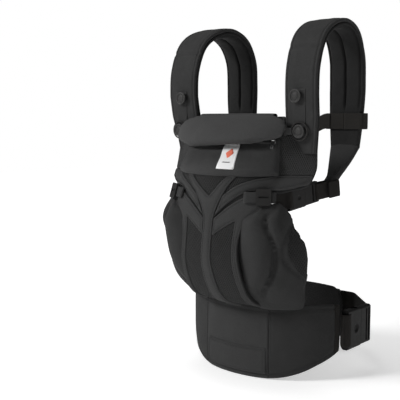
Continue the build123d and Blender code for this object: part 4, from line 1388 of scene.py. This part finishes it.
number = 0
for side, sign in SIDES.items():
    for x, y, z in BUTTONS:
        number += 1
        turned(f"button_{number}", (x * sign, y - 0.1, z), SNAP, BUTTON, "button_plastic",
               stands_for=["buttons"] if number == 1 else ())
    x, y, z = BUTTONS[1]
    rings = loop_rings(np.array([sign * x, y - 1.7, z]))
    faces = grid_faces(len(rings), CORD_COUNT)
    last = (len(rings) - 1) * CORD_COUNT
    faces += [(last + j, last + (j + 1) % CORD_COUNT, (j + 1) % CORD_COUNT, j) for j in range(CORD_COUNT)]
    loop_piece = make_object(f"button_loop_{side}", rings.reshape(-1, 3), faces, ELASTIC, "elastic",
                             body="head_support", stands_for=["head_support_loops"] if sign == 1 else ())
    face_out(loop_piece)
    tab = [(sign * (x - 19), y - 6.0, z), (sign * (x - 12), y - 3.4, z)]
    ribbon(f"pillow_tab_{side}", np.array(tab), (0, 0, 1), 10, SOFT, "soft_fabric", thick=3.2, step=2,
           body="head_support")

# ---- seat-width adjusters -------------------------------------------------------------------------
ADJUST_ORIGIN = np.array([80.87, -164.47, 285.07])
ADJUST_ALONG = np.array([0.8746, 0.4848, 0.0])
ADJUST_OUT = np.array([0.467, -0.8425, 0.2684])
ADJUST_UP = np.cross(ADJUST_OUT, ADJUST_ALONG)
TRACK_LINE = ((-24, -3), (-22, 0.2), (20, 0.2), (22, -3))
for side, sign in SIDES.items():
    flip = np.array([sign, 1, 1])
    path = [ADJUST_ORIGIN + ADJUST_ALONG * u + ADJUST_OUT * v for u, v in TRACK_LINE]
    ribbon(f"adjuster_track_{side}", rounded(path, [3, 3]) * flip, ADJUST_UP * flip, 16, TWILL_SHADED,
           "webbing", thick=1.6, step=2, stands_for=["adjuster_tracks"] if sign == 1 else ())

# ---- floor, light and camera ----------------------------------------------------------------------
FLOOR_Z = float(cad_low.z) - 0.0005
mesh = bpy.data.meshes.new("floor")
mesh.from_pydata([(-4, -4, FLOOR_Z), (4, -4, FLOOR_Z), (4, 4, FLOOR_Z), (-4, 4, FLOOR_Z)], [], [(0, 1, 2, 3)])
floor = bpy.data.objects.new("floor", mesh)
bpy.context.scene.collection.objects.link(floor)
ground = Paint("pale_floor")
reach = ground.node("ShaderNodeVectorMath", operation="LENGTH")
ground.link(ground.place, reach.inputs[0])
glow = ground.spread(reach.outputs["Value"], 0.42, 0.92)     # brighter away from the object
glow.node.inputs["From Min"].default_value = 0.5
glow.node.inputs["From Max"].default_value = 2.2
ground.link(glow, ground.shader.inputs["Emission Strength"])
ground.constant(Base_Color=(0.93, 0.93, 0.93, 1), Roughness=0.9, Emission_Color=(1, 1, 1, 1))
mesh.materials.append(ground.material)

world = bpy.data.worlds.new("studio")
bpy.context.scene.world = world
world.use_nodes = True
nodes, links = world.node_tree.nodes, world.node_tree.links
sky = nodes["Background"]
sky.inputs["Color"].default_value = (1, 1, 1, 1)
# The background is white. As light, the world is weaker, and stronger from above than from below.
seen = nodes.new("ShaderNodeLightPath")
place = nodes.new("ShaderNodeTexCoord")
split = nodes.new("ShaderNodeSeparateXYZ")
sky_light = nodes.new("ShaderNodeMapRange")
sky_light.inputs["To Min"].default_value = 0.05
sky_light.inputs["To Max"].default_value = 0.27
strength = nodes.new("ShaderNodeMix")
strength.inputs[3].default_value = 1.0
links.new(place.outputs["Generated"], split.inputs["Vector"])
links.new(split.outputs["Z"], sky_light.inputs["Value"])
links.new(seen.outputs["Is Camera Ray"], strength.inputs[0])
links.new(sky_light.outputs["Result"], strength.inputs[2])
links.new(strength.outputs[0], sky.inputs["Strength"])


def softbox(name, location, size, power):
    light = bpy.data.lights.new(name, "AREA")
    light.shape = "DISK"
    light.size = size
    light.energy = power
    lamp = bpy.data.objects.new(name, light)
    lamp.location = location
    lamp.rotation_euler = (Vector((0, 0, 0.25)) - Vector(location)).to_track_quat("-Z", "Y").to_euler()
    bpy.context.scene.collection.objects.link(lamp)


softbox("key", (-1.2, -2.1, 1.7), 0.9, 57)
softbox("top", (-0.2, -0.2, 2.4), 1.2, 13)

bpy.context.scene.view_settings.view_transform = "Standard"

AZIMUTH = 35
ELEVATION = 6
DISTANCE = 1.310
TARGET = Vector((0, 0, 0.262))
PAN = 5.78
FOCAL = 71.1
camera = bpy.data.objects.new("camera", bpy.data.cameras.new("camera"))
camera.data.lens = FOCAL
camera.data.sensor_width = 36
a, e = radians(AZIMUTH), radians(ELEVATION)
back = Vector((sin(a) * cos(e), -cos(a) * cos(e), sin(e)))
camera.location = TARGET + back * DISTANCE
ahead = -back
right = ahead.cross(Vector((0, 0, 1))).normalized()
ahead = (ahead - right * tan(radians(PAN))).normalized()
camera.rotation_mode = "QUATERNION"
camera.rotation_quaternion = ahead.to_track_quat("-Z", "Y")
bpy.context.scene.collection.objects.link(camera)
bpy.context.scene.camera = camera
